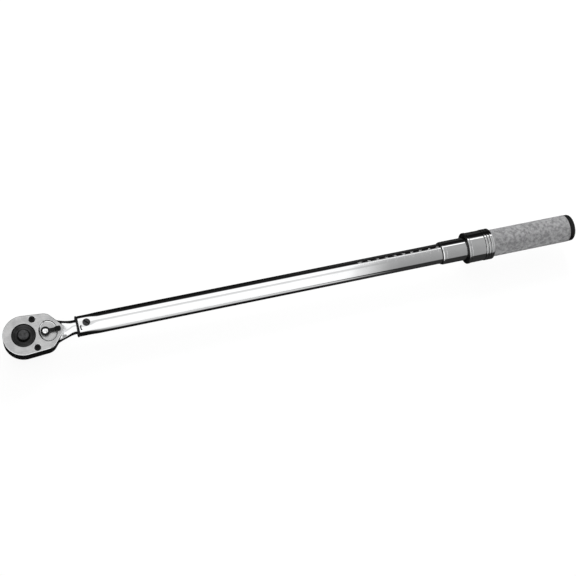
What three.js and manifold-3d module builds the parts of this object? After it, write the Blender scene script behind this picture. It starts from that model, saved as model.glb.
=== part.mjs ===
// Click-type torque wrench: 1/2 inch reversible ratchet head with a quick-release button,
// chrome tube, micrometer thimble with a knurled grip, and a pull-back lock collar.
//
// Millimetres, +Z up. The origin is the centre of the drive square's tip face. +X runs along
// the tube towards the grip, and +Z points out of the head's lever side. Pieces that lie on
// the tube's axis are turned solids made about their own Y axis, in a group that lays that
// axis along +X, so their stations (y) are distances from the drive axis.
import * as THREE from 'three';
import { mergeVertices } from 'three/addons/utils/BufferGeometryUtils.js';
import Module from 'manifold-3d';

const wasm = await Module();
wasm.setup();

// Fits
const GAP = 0.3; // between two pieces that touch, and around a running shaft
const CUT = 1; // how far a cutting tool runs past the face it cuts
const FAR = 70; // reach of a cutting block that only needs to be large enough
const RAD = Math.PI / 180;
const FINE = 32; // facets around a large turned piece
const COARSE = 16; // facets around a small one

// Drive square and ratchet gear
const SQUARE_SIDE = 12.7;
const SQUARE_LENGTH = 16.7;
const SQUARE_CHAMFER = 1.1;
const GEAR_TEETH = 36;
const GEAR_TIP_R = 14.4;
const GEAR_ROOT_R = 13.1;
const GEAR_BOTTOM = 20.4;
const GEAR_TOP = 32.4;
const HUB_R = 11.8;
const HUB_TOP = 34.8;
const HUB_BEVEL = 0.6;

// Ratchet head
const HEAD_BOTTOM = 17;
const HEAD_FLOOR = 20;
const SEAM_Z = 33;
const FACE_Z = 36;
const NOSE_R = 21;
const SHOULDER = { x: 21.5, y: 8, r: 11.2 };
const TIP = { x: 37.9, r: 3.8 };
const FLANK_ANGLE = 40 * RAD;
const HEAD_EDGE = 2.5;
const FACE_EDGE = 0.8;
const PLATE_SCREW = { x: 11.3, y: 15.2, headR: 3.2, shankR: 1.9, socketR: 1.5, head: 2, length: 9 };
const POCKET = { x: 25, alongR: 9.6, acrossR: 11.3, floor: 34.4 };

// Reversing lever and pawl
const PIVOT_X = 22;
const LEVER_HUB_R = 4.7;
const LEVER_TOP = 37.2;
const LEVER_LIFT = 0.4; // the arm's clearance over the face
const LEVER_ARM = { near: 1, waist: 9, end: 13.4, nearHalf: 2.6, waistHalf: 2, r: 2.4 };
const LEVER_TAB = { near: 9.5, half: 1.9, r: 2.1, rise: 1.3 };
const SERRATION = { stations: [10.4, 11.9, 13.4], width: 0.7, depth: 0.8 };
const LEVER_SCREW = { headR: 2.8, seat: 0.9, shankR: 1.2, boreR: 1.5, length: 6, proud: 0.5, slot: 0.35 };
const SHAFT_R = 3.3;
const SHAFT_END_Z = 18.8;
const DETENT_SPRING = { start: -1.4, end: 1.5, r: 0.85, wire: 0.22, coils: 3 };
const DETENT_BORE = { from: -1.6, r: 1.3 };
const DETENT_BALL = { r: 1.1, at: 2.75 };
const DETENT_Z = 25.4;
const DETENT_GROOVE = { deep: 1.2, half: 1.6 };
const PAWL_BOTTOM = 20.6;
const PAWL_TOP = 32.2;
const PAWL_HUB_R = 6.4;
const PAWL_FACE_R = 14.8;
const PAWL_BACK_R = 18.6;
const PAWL_SPAN = 40 * RAD;
const PAWL_RELIEF_R = 16;
const PAWL_RELIEF_SPAN = 20 * RAD;
const PAWL_ROCK = 8 * RAD;
const PAWL_ROOM_R = 21.3;
const PAWL_ROOM_SPAN = 43 * RAD;

// Quick release
const BUTTON_R = 5.45;
const BUTTON_TOP = 39.3;
const BUTTON_BOTTOM = 31;
const BUTTON_TRAVEL = 2.5;
const BUTTON_EDGE = 0.7;
const BUTTON_WELL_Z = 24.5;
const BUTTON_COIL = { wire: 0.45, coils: 3 };
const ROD_R = 2.8;
const ROD_END_Z = 5.5;
const ROD_NECK = { r: 1.7, length: 3 };
const ROD_WAIST = { r: 1.9, start: 0.2, full: 1.6, end: 4.2, close: 5.2 }; // above the ball
const BALL_R = 2;
const BALL_Z = 7;
const BALL_X = 5.15;

// Tube, on the axis TUBE_Z above the drive tip
const TUBE_Z = 28.5;
const TUBE_R = 11;
const BORE_R = 9.2;
const MOUTH_X = 55.7;
const MOUTH_HALF = 9.9;
const MOUTH_CORNER_R = 6.8;
const SQUARE_END_X = 63;
const ROUND_START_X = 77;
const TUBE_END_X = 546.5;
const NECK_R = 7.5;
const SEAL_FRONT_X = 53.6;
const SEAL_PROUD = 0.35;
const FLARE = { start: 30, end: 52, half: 12 };

// Head pivot, tail arm and tilt block
const PIN_X = 64;
const PIN_R = 3.7;
const PIN_PROUD = 0.8;
const SLOT = { width: 1, depth: 0.9 };
const BOSS = { r: 7.7, half: 6.5, end: 74 };
const TAIL = { r: 7, half: 5, end: 122.5 };
const BLOCK = { front: 124.5, rear: 134.5, r: 4, half: 5 };
const PLUNGER = { front: 136.5, rear: 190, r: 8.9, waist: 6.6, land: 14, slope: 3, spigotR: 3.6, spigot: 10 };

// Main spring and its adjuster
const SPRING = { start: 190.3, end: 395.7, r: 6.4, wire: 2.2, coils: 20 };
const SEAT = { front: 396, rear: 412, r: 8.9, spigotR: 3.6, spigot: 10 };
const THRUST_BALL_R = 2.6;
const SCREW_FRONT_X = 413;
const SCREW_R = 4;
const SCREW_END_X = 603.6;
const NUT = { front: 520, rear: 545, r: 8.9 };
const NUT_SCREW = { x: 532, r: 1.6, inner: 6.4, outer: 10.8 };

// Thimble, grip and end cap
const THIMBLE = { front: 455.6, rear: 605, r: 12.6, bore: 11.3, bevel: 1 };
const GRIP = { front: 515.4, rear: 608.6, r: 15, bore: 12.9, edge: 0.8 };
const PLUG = { front: 588, rear: 597, r: 11 };
const PLUG_PIN = { x: 592.5, r: 1.5, inner: 6, outer: 12.4 };
const LOCK_NUT = { front: 597.3, rear: 602, r: 7.2 };
const CAP = { front: 608.9, rear: 615.4, r: 14.7, edge: 3.2, spigotFront: 604.2, spigotR: 10.9 };

// Lock collar
const COLLAR = {
  front: 485.6, rear: 515, flangeR: 17.3, waistR: 16.9, rearR: 17.2, flange: 3, ridges: 3, ridge: 3.1,
  fillet: 0.3, edge: 0.4,
};
const COLLAR_GROOVE_X = 490;
const COLLAR_BORE_R = 12.9;
const COLLAR_GROOVE_R = 13.5;
const COLLAR_REAR_BORE_R = 15.3;
const COLLAR_STEP_X = 500;
const STOP_RING = { front: 486, rear: 487.2, r: 13.9 };
const LOCK_BALL = { x: 496.6, r: 0.85, at: 12.22 };
const COLLAR_SPRING = { start: 500.3, end: 515.1, r: 13.95, wire: 0.55, coils: 4 };

// Finishes
const CHROME = { color: 0xd9dadb, roughness: 0.12, metalness: 1 };
const SATIN = { color: 0xb2b3b4, roughness: 0.38, metalness: 1 };
const BLACK_OXIDE = { color: 0x1d1d1f, roughness: 0.5, metalness: 0.6 };
const DARK_STEEL = { color: 0x4a4b4d, roughness: 0.35, metalness: 0.9 };
const BRIGHT_STEEL = { color: 0xc2c3c4, roughness: 0.28, metalness: 1 };
const KNURLED_STEEL = { color: 0x9d9ea0, roughness: 0.45, metalness: 0.9 };
const BLACK_RUBBER = { color: 0x131313, roughness: 0.75, metalness: 0 };
const BLACK_PLASTIC = { color: 0x161617, roughness: 0.5, metalness: 0 };
const BRASS = { color: 0xb08a45, roughness: 0.35, metalness: 1 };

// A named mesh with its own material.
function piece(name, geometry, finish) {
  const mesh = new THREE.Mesh(geometry, new THREE.MeshStandardMaterial(finish));
  mesh.name = name;
  return mesh;
}

// Solid from a closed geometry, with shared corners welded and slivers at poles dropped.
function solid(geometry) {
  const bare = geometry.clone();
  bare.deleteAttribute('normal');
  bare.deleteAttribute('uv');
  const welded = mergeVertices(bare);
  const corners = [];
  for (let i = 0; i < welded.index.count; i += 3) {
    const [a, b, c] = [0, 1, 2].map((step) => welded.index.getX(i + step));
    if (a !== b && b !== c && c !== a) corners.push(a, b, c);
  }
  const vertProperties = new Float32Array(welded.attributes.position.array);
  const triVerts = new Uint32Array(corners);
  return new wasm.Manifold(new wasm.Mesh({ numProp: 3, vertProperties, triVerts }));
}

function geometryOf(body) {
  const { vertProperties, triVerts } = body.getMesh();
  const geometry = new THREE.BufferGeometry();
  geometry.setAttribute('position', new THREE.BufferAttribute(vertProperties, 3));
  geometry.setIndex(new THREE.BufferAttribute(triVerts, 1));
  geometry.computeVertexNormals();
  return geometry;
}

// Turned solid about Y from [radius, station] corners in order of rising station. A solid's
// list starts and ends on the axis. A sleeve's list comes back along the bore and closes.
function turned(corners, facets = FINE) {
  const points = corners.map(([radius, station]) => new THREE.Vector2(radius, station));
  if (corners[0][0] > 0) points.push(points[0].clone());
  return new THREE.LatheGeometry(points, facets);
}

function rod(radius, from, to, facets = COARSE) {
  return turned([[0, from], [radius, from], [radius, to], [0, to]], facets);
}

// Round bar along Z, and along a radius at a height.
function upright(radius, from, to, x = 0, y = 0, facets = COARSE) {
  return rod(radius, from, to, facets).rotateX(Math.PI / 2).translate(x, y, 0);
}

function block(from, to) {
  const size = to.map((value, axis) => value - from[axis]);
  const middle = to.map((value, axis) => (value + from[axis]) / 2);
  return new THREE.BoxGeometry(...size).translate(...middle);
}

// Upright plate of an outline between two heights. The edges are rounded inwards.
function slab(outline, bottom, top, edge = 0) {
  const options = { depth: top - bottom - 2 * edge, curveSegments: 8, bevelEnabled: edge > 0 };
  const rounding = { bevelThickness: edge, bevelSize: edge, bevelOffset: -edge, bevelSegments: 2 };
  return new THREE.ExtrudeGeometry(outline, { ...options, ...rounding }).translate(0, 0, bottom + edge);
}

function circle(x, y, radius) {
  return new THREE.Shape().absarc(x, y, radius, 0, 2 * Math.PI);
}

// Coil spring about Y.
class Helix extends THREE.Curve {
  constructor(radius, from, to, coils) {
    super();
    Object.assign(this, { radius, from, to, coils });
  }

  getPoint(t, target = new THREE.Vector3()) {
    const turn = 2 * Math.PI * this.coils * t;
    const station = this.from + (this.to - this.from) * t;
    return target.set(this.radius * Math.cos(turn), station, this.radius * Math.sin(turn));
  }
}

function coil({ start, end, r, wire, coils }, stepsPerTurn = 8) {
  const section = circle(0, 0, wire);
  const path = new Helix(r, start + wire, end - wire, coils);
  const options = { steps: coils * stepsPerTurn, curveSegments: 3, extrudePath: path };
  return new THREE.ExtrudeGeometry(section, options);
}

// Pear-shaped head outline: a round nose about the drive axis, two shoulders and a blunt tip.
function headOutline() {
  const reach = Math.hypot(SHOULDER.x, SHOULDER.y);
  const tangent = Math.atan2(SHOULDER.y, SHOULDER.x) + Math.acos((NOSE_R - SHOULDER.r) / reach);
  return new THREE.Shape()
    .absarc(0, 0, NOSE_R, tangent, 2 * Math.PI - tangent)
    .absarc(SHOULDER.x, -SHOULDER.y, SHOULDER.r, -tangent, -FLANK_ANGLE)
    .absarc(TIP.x, 0, TIP.r, -FLANK_ANGLE, FLANK_ANGLE)
    .absarc(SHOULDER.x, SHOULDER.y, SHOULDER.r, FLANK_ANGLE, tangent);
}

// Round bar on the tube's axis, seen in the head's own axes.
function axial(radius, from, to, facets = COARSE) {
  return rod(radius, from, to, facets).rotateZ(-Math.PI / 2).translate(0, 0, TUBE_Z);
}

// Flare between the head and the neck: a plan outline crossed with a side outline.
function neckFlare() {
  const { start, end, half } = FLARE;
  const middle = (start + end) / 2;
  const between = (half + NECK_R) / 2;
  const plan = new THREE.Shape();
  plan.moveTo(start, -half);
  plan.bezierCurveTo(middle, -between, middle, -NECK_R, end, -NECK_R);
  plan.lineTo(end, NECK_R);
  plan.bezierCurveTo(middle, NECK_R, middle, between, start, half);
  const side = new THREE.Shape();
  const low = HEAD_BOTTOM + HEAD_EDGE;
  const top = TUBE_Z + NECK_R;
  const clear = TIP.x + TIP.r + GAP; // just past the face plate
  side.moveTo(start, low);
  side.bezierCurveTo(middle, low, middle, TUBE_Z - NECK_R, end, TUBE_Z - NECK_R);
  side.lineTo(end, top);
  side.bezierCurveTo((clear + end) / 2, top, (clear + end) / 2, SEAM_Z, clear, SEAM_Z);
  side.lineTo(start, SEAM_Z);
  const depth = 2 * NOSE_R;
  const sideways = slab(side, 0, depth).rotateX(Math.PI / 2).translate(0, depth / 2, 0);
  return solid(slab(plan, HEAD_BOTTOM, top + GAP, 1)).intersect(solid(sideways));
}

// Arm that runs on from the neck into the tube: pivot boss, then a slimmer tail.
function tailArm() {
  const boss = solid(axial(BOSS.r, MOUTH_X + GAP, BOSS.end)).intersect(
    solid(block([0, -BOSS.half, 0], [BOSS.end + CUT, BOSS.half, 2 * TUBE_Z])));
  const tail = solid(axial(TAIL.r, BOSS.end - CUT, TAIL.end)).intersect(
    solid(block([0, -TAIL.half, 0], [TAIL.end + CUT, TAIL.half, 2 * TUBE_Z])));
  const seat = solid(upright(BLOCK.r + GAP, 0, 2 * TUBE_Z, BLOCK.front));
  const hole = solid(upright(PIN_R + GAP, 0, 2 * TUBE_Z, PIN_X));
  return boss.add(tail).subtract(seat).subtract(hole);
}

// Room for the gear, the pawl and its shaft.
function headCavity() {
  const room = new THREE.Shape()
    .absarc(0, 0, PAWL_ROOM_R, -PAWL_ROOM_SPAN, PAWL_ROOM_SPAN)
    .lineTo(0, 0);
  const hub = circle(PIVOT_X, 0, PAWL_HUB_R + CUT);
  return solid(upright(GEAR_TIP_R + 2 * GAP, HEAD_FLOOR, FACE_Z, 0, 0, FINE))
    .add(solid(slab(room, HEAD_FLOOR, FACE_Z)))
    .add(solid(slab(hub, HEAD_FLOOR, FACE_Z)))
    .add(solid(upright(HUB_R + GAP, 0, FACE_Z, 0, 0, FINE)))
    .add(solid(upright(SHAFT_R + GAP, SHAFT_END_Z - GAP, FACE_Z, PIVOT_X)));
}

function headBody() {
  const forging = solid(slab(headOutline(), HEAD_BOTTOM, FACE_Z + 2 * HEAD_EDGE, HEAD_EDGE))
    .subtract(solid(block([-FAR, -FAR, SEAM_Z], [FAR, FAR, FAR])));
  const neck = axial(NECK_R, FLARE.end - CUT, MOUTH_X + CUT);
  let body = forging.add(neckFlare()).add(solid(neck)).add(tailArm());
  body = body.subtract(headCavity());
  for (const side of [-1, 1]) {
    const depth = SEAM_Z - PLATE_SCREW.length;
    const hole = upright(PLATE_SCREW.shankR + GAP, depth, FACE_Z, PLATE_SCREW.x, side * PLATE_SCREW.y);
    body = body.subtract(solid(hole));
  }
  body = body.subtract(solid(upright(PIN_R + GAP, 0, 2 * TUBE_Z, PIN_X)));
  return piece('head_body', geometryOf(body), CHROME);
}

// Face plate with the hub's bore, the lever's pocket and two counterbored screw holes.
function coverPlate() {
  const top = solid(slab(headOutline(), SEAM_Z - 2 * FACE_EDGE, FACE_Z, FACE_EDGE));
  const below = block([-FAR, -FAR, 0], [FAR, FAR, SEAM_Z + GAP]);
  const pocket = new THREE.Shape().absellipse(POCKET.x, 0, POCKET.alongR, POCKET.acrossR, 0, 2 * Math.PI);
  let plate = top.subtract(solid(below))
    .subtract(solid(upright(HUB_R + GAP, 0, FACE_Z + CUT, 0, 0, FINE)))
    .subtract(solid(slab(pocket, POCKET.floor, FACE_Z + CUT)))
    .subtract(solid(upright(SHAFT_R + GAP, 0, FACE_Z, PIVOT_X)));
  for (const side of [-1, 1]) {
    const { x, y, headR, shankR, head } = PLATE_SCREW;
    plate = plate
      .subtract(solid(upright(shankR + GAP, 0, FACE_Z, x, side * y)))
      .subtract(solid(upright(headR + GAP, FACE_Z - head, FACE_Z + CUT, x, side * y)));
  }
  return piece('cover_plate', geometryOf(plate), SATIN);
}

// Socket-head screw along Z, with its head's underside at the given height.
function coverScrew(name, side) {
  const { headR, shankR, socketR, head, length } = PLATE_SCREW;
  const underside = GAP;
  const top = head - GAP;
  const body = turned([[0, underside - length], [shankR, underside - length], [shankR, underside],
    [headR, underside], [headR, top - GAP], [headR - GAP, top], [0, top]], COARSE);
  const socket = rod(socketR, 2 * GAP, head, 6);
  const screw = piece(name, geometryOf(solid(body).subtract(solid(socket))), BLACK_OXIDE);
  screw.rotation.x = Math.PI / 2;
  screw.position.set(PLATE_SCREW.x, side * PLATE_SCREW.y, FACE_Z - head);
  return screw;
}

function gearOutline(grow = 0) {
  const outline = new THREE.Shape();
  for (let i = 0; i < 2 * GEAR_TEETH; i++) {
    const radius = (i % 2 ? GEAR_ROOT_R : GEAR_TIP_R) + grow;
    const angle = i * Math.PI / GEAR_TEETH;
    outline[i ? 'lineTo' : 'moveTo'](radius * Math.cos(angle), radius * Math.sin(angle));
  }
  return outline;
}

// Square bar with chamfered long edges and a chamfered tip.
function driveSquare() {
  const half = SQUARE_SIDE / 2;
  const long = half - SQUARE_CHAMFER;
  const corners = [[half, long], [long, half], [-long, half], [-half, long],
    [-half, -long], [-long, -half], [long, -half], [half, -long]];
  const outline = new THREE.Shape(corners.map(([x, y]) => new THREE.Vector2(x, y)));
  return solid(slab(outline, 0, SQUARE_LENGTH + 2 * SQUARE_CHAMFER, SQUARE_CHAMFER));
}

function ratchetGear() {
  const hub = turned([[0, SQUARE_LENGTH - CUT], [HUB_R - GAP, SQUARE_LENGTH - CUT],
    [HUB_R, SQUARE_LENGTH], [HUB_R, HUB_TOP - HUB_BEVEL], [HUB_R - HUB_BEVEL, HUB_TOP], [0, HUB_TOP]]);
  const buttonBore = upright(BUTTON_R + GAP, BUTTON_WELL_Z, HUB_TOP + CUT);
  const rodBore = upright(ROD_R + GAP, ROD_END_Z - BUTTON_TRAVEL - GAP, HUB_TOP);
  const ballHole = rod(BALL_R + GAP / 2, ROD_R, BALL_X + BALL_R / 2);
  const mouth = rod(BALL_R - GAP / 2, ROD_R, SQUARE_SIDE);
  const body = driveSquare()
    .add(solid(hub.rotateX(Math.PI / 2)))
    .add(solid(slab(gearOutline(), GEAR_BOTTOM, GEAR_TOP)))
    .subtract(solid(buttonBore))
    .subtract(solid(rodBore))
    .subtract(solid(ballHole.rotateZ(-Math.PI / 2).translate(0, 0, BALL_Z)))
    .subtract(solid(mouth.rotateZ(-Math.PI / 2).translate(0, 0, BALL_Z)));
  return piece('ratchet_gear', geometryOf(body), DARK_STEEL);
}

// Button cap with a socket underneath for the release rod.
function releaseButton() {
  const shoulder = BUTTON_TOP - BUTTON_EDGE;
  const body = turned([[0, BUTTON_BOTTOM], [BUTTON_R, BUTTON_BOTTOM], [BUTTON_R, shoulder],
    [BUTTON_R - BUTTON_EDGE, BUTTON_TOP], [0, BUTTON_TOP]]);
  const socket = rod(ROD_NECK.r + GAP, BUTTON_BOTTOM - CUT, BUTTON_BOTTOM + ROD_NECK.length + GAP);
  const button = piece('release_button', geometryOf(solid(body).subtract(solid(socket))), DARK_STEEL);
  button.rotation.x = Math.PI / 2;
  return button;
}

// Rod with the waist that lets the detent ball fall in when the button is pressed.
function releaseRod() {
  const top = BUTTON_BOTTOM + ROD_NECK.length;
  const step = BUTTON_BOTTOM - GAP;
  const { r, start, full, end, close } = ROD_WAIST;
  const corners = [[0, ROD_END_Z], [ROD_R - GAP, ROD_END_Z], [ROD_R, ROD_END_Z + GAP],
    [ROD_R, BALL_Z + start], [r, BALL_Z + full], [r, BALL_Z + end], [ROD_R, BALL_Z + close],
    [ROD_R, step], [ROD_NECK.r, step], [ROD_NECK.r, top], [0, top]];
  const stem = piece('release_rod', turned(corners, COARSE), BRIGHT_STEEL);
  stem.rotation.x = Math.PI / 2;
  return stem;
}

function buttonSpring() {
  const r = (BUTTON_R + ROD_R) / 2;
  const spring = coil({ ...BUTTON_COIL, r, start: BUTTON_WELL_Z + GAP, end: BUTTON_BOTTOM - GAP });
  const mesh = piece('button_spring', spring, BRIGHT_STEEL);
  mesh.rotation.x = Math.PI / 2;
  return mesh;
}

function ball(name, radius, finish = BRIGHT_STEEL) {
  return piece(name, new THREE.SphereGeometry(radius, 12, 8), finish);
}

function detentBall() {
  const mesh = ball('detent_ball', BALL_R);
  mesh.position.set(BALL_X, 0, BALL_Z);
  return mesh;
}

// Lever knob: round hub, tapered arm and an upturned thumb tab with cut serrations.
function reversingLever() {
  const bottom = POCKET.floor + GAP;
  const hub = turned([[0, bottom], [LEVER_HUB_R, bottom], [LEVER_HUB_R, LEVER_TOP - GAP],
    [LEVER_HUB_R - GAP, LEVER_TOP], [0, LEVER_TOP]], COARSE).rotateX(Math.PI / 2);
  const { near, waist, end, nearHalf, waistHalf, r } = LEVER_ARM;
  const arm = new THREE.Shape();
  arm.moveTo(near, -nearHalf);
  arm.lineTo(waist, -waistHalf);
  arm.absarc(end, 0, r, -Math.PI / 2, Math.PI / 2);
  arm.lineTo(waist, waistHalf);
  arm.lineTo(near, nearHalf);
  const tab = new THREE.Shape();
  tab.moveTo(LEVER_TAB.near, -LEVER_TAB.half);
  tab.absarc(end, 0, LEVER_TAB.r, -Math.PI / 2, Math.PI / 2);
  tab.lineTo(LEVER_TAB.near, LEVER_TAB.half);
  const tabTop = LEVER_TOP + LEVER_TAB.rise;
  let body = solid(hub)
    .add(solid(slab(arm, FACE_Z + LEVER_LIFT, LEVER_TOP, GAP)))
    .add(solid(slab(tab, FACE_Z + LEVER_LIFT, tabTop)));
  for (const x of SERRATION.stations) {
    const low = [x, -LEVER_HUB_R, tabTop - SERRATION.depth];
    body = body.subtract(solid(block(low, [x + SERRATION.width, LEVER_HUB_R, tabTop + CUT])));
  }
  body = body
    .subtract(solid(upright(LEVER_SCREW.headR + GAP, LEVER_TOP - LEVER_SCREW.seat, LEVER_TOP + CUT)))
    .subtract(solid(upright(LEVER_SCREW.boreR, 0, LEVER_TOP)));
  const lever = piece('reversing_lever', geometryOf(body), BLACK_OXIDE);
  lever.position.x = PIVOT_X;
  return lever;
}

// Shaft that carries the pawl and holds the detent's spring and ball in a cross bore.
function pawlShaft() {
  const top = POCKET.floor;
  const shaft = upright(SHAFT_R, SHAFT_END_Z, top);
  const screwHole = upright(LEVER_SCREW.boreR, top - LEVER_SCREW.length, top + CUT);
  const cross = rod(DETENT_BORE.r, DETENT_BORE.from, SHAFT_R + CUT).rotateZ(-Math.PI / 2)
    .translate(0, 0, DETENT_Z);
  const body = solid(shaft).subtract(solid(screwHole)).subtract(solid(cross));
  const mesh = piece('pawl_shaft', geometryOf(body), DARK_STEEL);
  mesh.position.x = PIVOT_X;
  return mesh;
}

function pawlSpring() {
  const mesh = piece('pawl_spring', coil(DETENT_SPRING), BRIGHT_STEEL);
  mesh.rotation.z = -Math.PI / 2;
  mesh.position.set(PIVOT_X, 0, DETENT_Z);
  return mesh;
}

function pawlBall() {
  const mesh = ball('pawl_ball', DETENT_BALL.r);
  mesh.position.set(PIVOT_X + DETENT_BALL.at, 0, DETENT_Z);
  return mesh;
}

// Cross-recessed screw in the lever's counterbore.
function leverScrew() {
  const { headR, seat, shankR, length, proud, slot } = LEVER_SCREW;
  const underside = LEVER_TOP - seat + GAP;
  const top = LEVER_TOP + proud;
  const body = turned([[0, underside - length], [shankR, underside - length], [shankR, underside],
    [headR, underside], [headR, top - proud], [headR - proud, top], [0, top]], COARSE);
  const reach = headR / 2;
  const recess = solid(block([-reach, -slot, top - proud], [reach, slot, top + CUT]))
    .add(solid(block([-slot, -reach, top - proud], [slot, reach, top + CUT])));
  const mesh = piece('lever_screw', geometryOf(solid(body.rotateX(Math.PI / 2)).subtract(recess)), CHROME);
  mesh.position.x = PIVOT_X;
  return mesh;
}

// Copy of a solid turned about the lever's pivot.
function rocked(body, angle) {
  const turn = new THREE.Matrix4()
    .makeTranslation(PIVOT_X, 0, 0)
    .multiply(new THREE.Matrix4().makeRotationZ(angle))
    .multiply(new THREE.Matrix4().makeTranslation(-PIVOT_X, 0, 0));
  return body.transform(turn.elements);
}

// Rocking pawl. Each end is cut by the gear itself, with clearance, where it meshes.
function pawl() {
  const face = new THREE.Shape()
    .absarc(0, 0, PAWL_BACK_R, -PAWL_SPAN, PAWL_SPAN)
    .absarc(0, 0, PAWL_FACE_R, PAWL_SPAN, PAWL_RELIEF_SPAN, true)
    .absarc(0, 0, PAWL_RELIEF_R, PAWL_RELIEF_SPAN, -PAWL_RELIEF_SPAN, true)
    .absarc(0, 0, PAWL_FACE_R, -PAWL_RELIEF_SPAN, -PAWL_SPAN, true);
  const gear = solid(slab(gearOutline(GAP), 0, FACE_Z));
  const { deep, half } = DETENT_GROOVE;
  const groove = upright(SHAFT_R + deep, DETENT_Z - half, DETENT_Z + half, PIVOT_X);
  const body = solid(slab(face, PAWL_BOTTOM, PAWL_TOP))
    .add(solid(upright(PAWL_HUB_R, PAWL_BOTTOM, PAWL_TOP, PIVOT_X)))
    .subtract(rocked(gear, PAWL_ROCK))
    .subtract(rocked(gear, -PAWL_ROCK))
    .subtract(solid(upright(SHAFT_R + GAP, 0, FACE_Z, PIVOT_X)))
    .subtract(solid(groove));
  return piece('pawl', geometryOf(body), DARK_STEEL);
}

// Distance from the axis of a rounded square, in a direction given by its angle.
function squareReach(angle, half, corner) {
  const [x, y] = [Math.abs(Math.cos(angle)), Math.abs(Math.sin(angle))];
  const core = half - corner;
  const flat = half / Math.max(x, y);
  if (flat * Math.min(x, y) <= core) return flat;
  const along = core * (x + y);
  return along + Math.sqrt(along * along - 2 * core * core + corner * corner);
}

// Draws the tube's round mouth out to a rounded square that fades back to round.
function formMouth(geometry) {
  const position = geometry.attributes.position;
  for (let i = 0; i < position.count; i++) {
    const radius = Math.hypot(position.getX(i), position.getZ(i));
    const angle = Math.atan2(position.getZ(i), position.getX(i));
    const fade = THREE.MathUtils.smoothstep(position.getY(i), SQUARE_END_X, ROUND_START_X);
    const inset = TUBE_R - radius;
    const formed = squareReach(angle, MOUTH_HALF - inset, MOUTH_CORNER_R - inset);
    const reach = THREE.MathUtils.lerp(formed, radius, fade);
    position.setX(i, reach * Math.cos(angle));
    position.setZ(i, reach * Math.sin(angle));
  }
  return geometry;
}

function mouthStations() {
  const steps = 5;
  const spacing = (ROUND_START_X - SQUARE_END_X) / steps;
  return Array.from({ length: steps + 1 }, (_, i) => SQUARE_END_X + i * spacing);
}

// Tube with its formed mouth, the pivot pin's holes and the adjuster nut's two screw holes.
function tube() {
  const outside = mouthStations().map((station) => [TUBE_R, station]);
  const inside = mouthStations().reverse().map((station) => [BORE_R, station]);
  const profile = [[BORE_R, MOUTH_X], [TUBE_R, MOUTH_X], ...outside, [TUBE_R, TUBE_END_X],
    [BORE_R, TUBE_END_X], ...inside];
  const pinHole = rod(PIN_R + GAP, -2 * TUBE_R, 2 * TUBE_R).rotateX(Math.PI / 2).translate(0, PIN_X, 0);
  const screwHole = rod(NUT_SCREW.r + GAP, -2 * TUBE_R, 2 * TUBE_R).rotateZ(Math.PI / 2)
    .translate(0, NUT_SCREW.x, 0);
  const body = solid(formMouth(turned(profile))).subtract(solid(pinHole)).subtract(solid(screwHole));
  return piece('tube', geometryOf(body), CHROME);
}

// Rubber seal between the head's neck and the mouth of the tube.
function mouthSeal() {
  const outline = new THREE.Shape();
  for (let i = 0; i < FINE; i++) {
    const angle = 2 * Math.PI * i / FINE;
    const reach = squareReach(angle, MOUTH_HALF + SEAL_PROUD, MOUTH_CORNER_R + SEAL_PROUD);
    outline[i ? 'lineTo' : 'moveTo'](reach * Math.cos(angle), reach * Math.sin(angle));
  }
  outline.holes.push(new THREE.Path().absarc(0, 0, NECK_R + 2 * GAP, 0, 2 * Math.PI, true));
  const ring = slab(outline, SEAL_FRONT_X, MOUTH_X - GAP).rotateX(-Math.PI / 2);
  return piece('mouth_seal', ring, BLACK_RUBBER);
}

// Slotted pin through the tube and the head's boss.
function pivotPin() {
  const top = MOUTH_HALF + PIN_PROUD;
  const edge = 2 * GAP;
  const body = turned([[0, -MOUTH_HALF], [PIN_R - GAP, -MOUTH_HALF], [PIN_R, GAP - MOUTH_HALF],
    [PIN_R, top - edge], [PIN_R - edge, top], [0, top]], COARSE);
  const half = SLOT.width / 2;
  const slot = block([-2 * PIN_R, top - SLOT.depth, -half], [2 * PIN_R, top + CUT, half])
    .rotateY(Math.PI / 4);
  const mesh = piece('pivot_pin', geometryOf(solid(body).subtract(solid(slot))), DARK_STEEL);
  mesh.rotation.x = Math.PI / 2;
  mesh.position.set(PIN_X, 0, TUBE_Z);
  return mesh;
}

// Link with two round ends, between the tail arm's seat and the plunger's.
function tiltBlock() {
  const outline = new THREE.Shape()
    .absarc(0, 0, BLOCK.r, Math.PI / 2, 1.5 * Math.PI)
    .absarc(BLOCK.rear - BLOCK.front, 0, BLOCK.r, -Math.PI / 2, Math.PI / 2);
  const mesh = piece('tilt_block', slab(outline, -BLOCK.half, BLOCK.half), DARK_STEEL);
  mesh.position.set(BLOCK.front, 0, TUBE_Z);
  return mesh;
}

function plunger() {
  const { front, rear, r, waist, land, slope, spigotR, spigot } = PLUNGER;
  const body = turned([[0, front], [r, front], [r, front + land], [waist, front + land + slope],
    [waist, rear - land - slope], [r, rear - land], [r, rear], [spigotR, rear],
    [spigotR, rear + spigot], [0, rear + spigot]], FINE);
  const seat = rod(BLOCK.r + GAP, -TUBE_Z, TUBE_Z).rotateX(Math.PI / 2).translate(0, BLOCK.rear, 0);
  return piece('plunger', geometryOf(solid(body).subtract(solid(seat))), BRIGHT_STEEL);
}

function mainSpring() {
  return piece('main_spring', coil(SPRING), DARK_STEEL);
}

function springSeat() {
  const { front, rear, r, spigotR, spigot } = SEAT;
  const body = turned([[0, front - spigot], [spigotR, front - spigot], [spigotR, front], [r, front],
    [r, rear], [0, rear]], FINE);
  const cup = new THREE.SphereGeometry(THRUST_BALL_R + GAP, 12, 8).translate(0, rear, 0);
  return piece('spring_seat', geometryOf(solid(body).subtract(solid(cup))), BRIGHT_STEEL);
}

function thrustBall() {
  const mesh = ball('thrust_ball', THRUST_BALL_R);
  mesh.position.y = SEAT.rear;
  return mesh;
}

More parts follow.
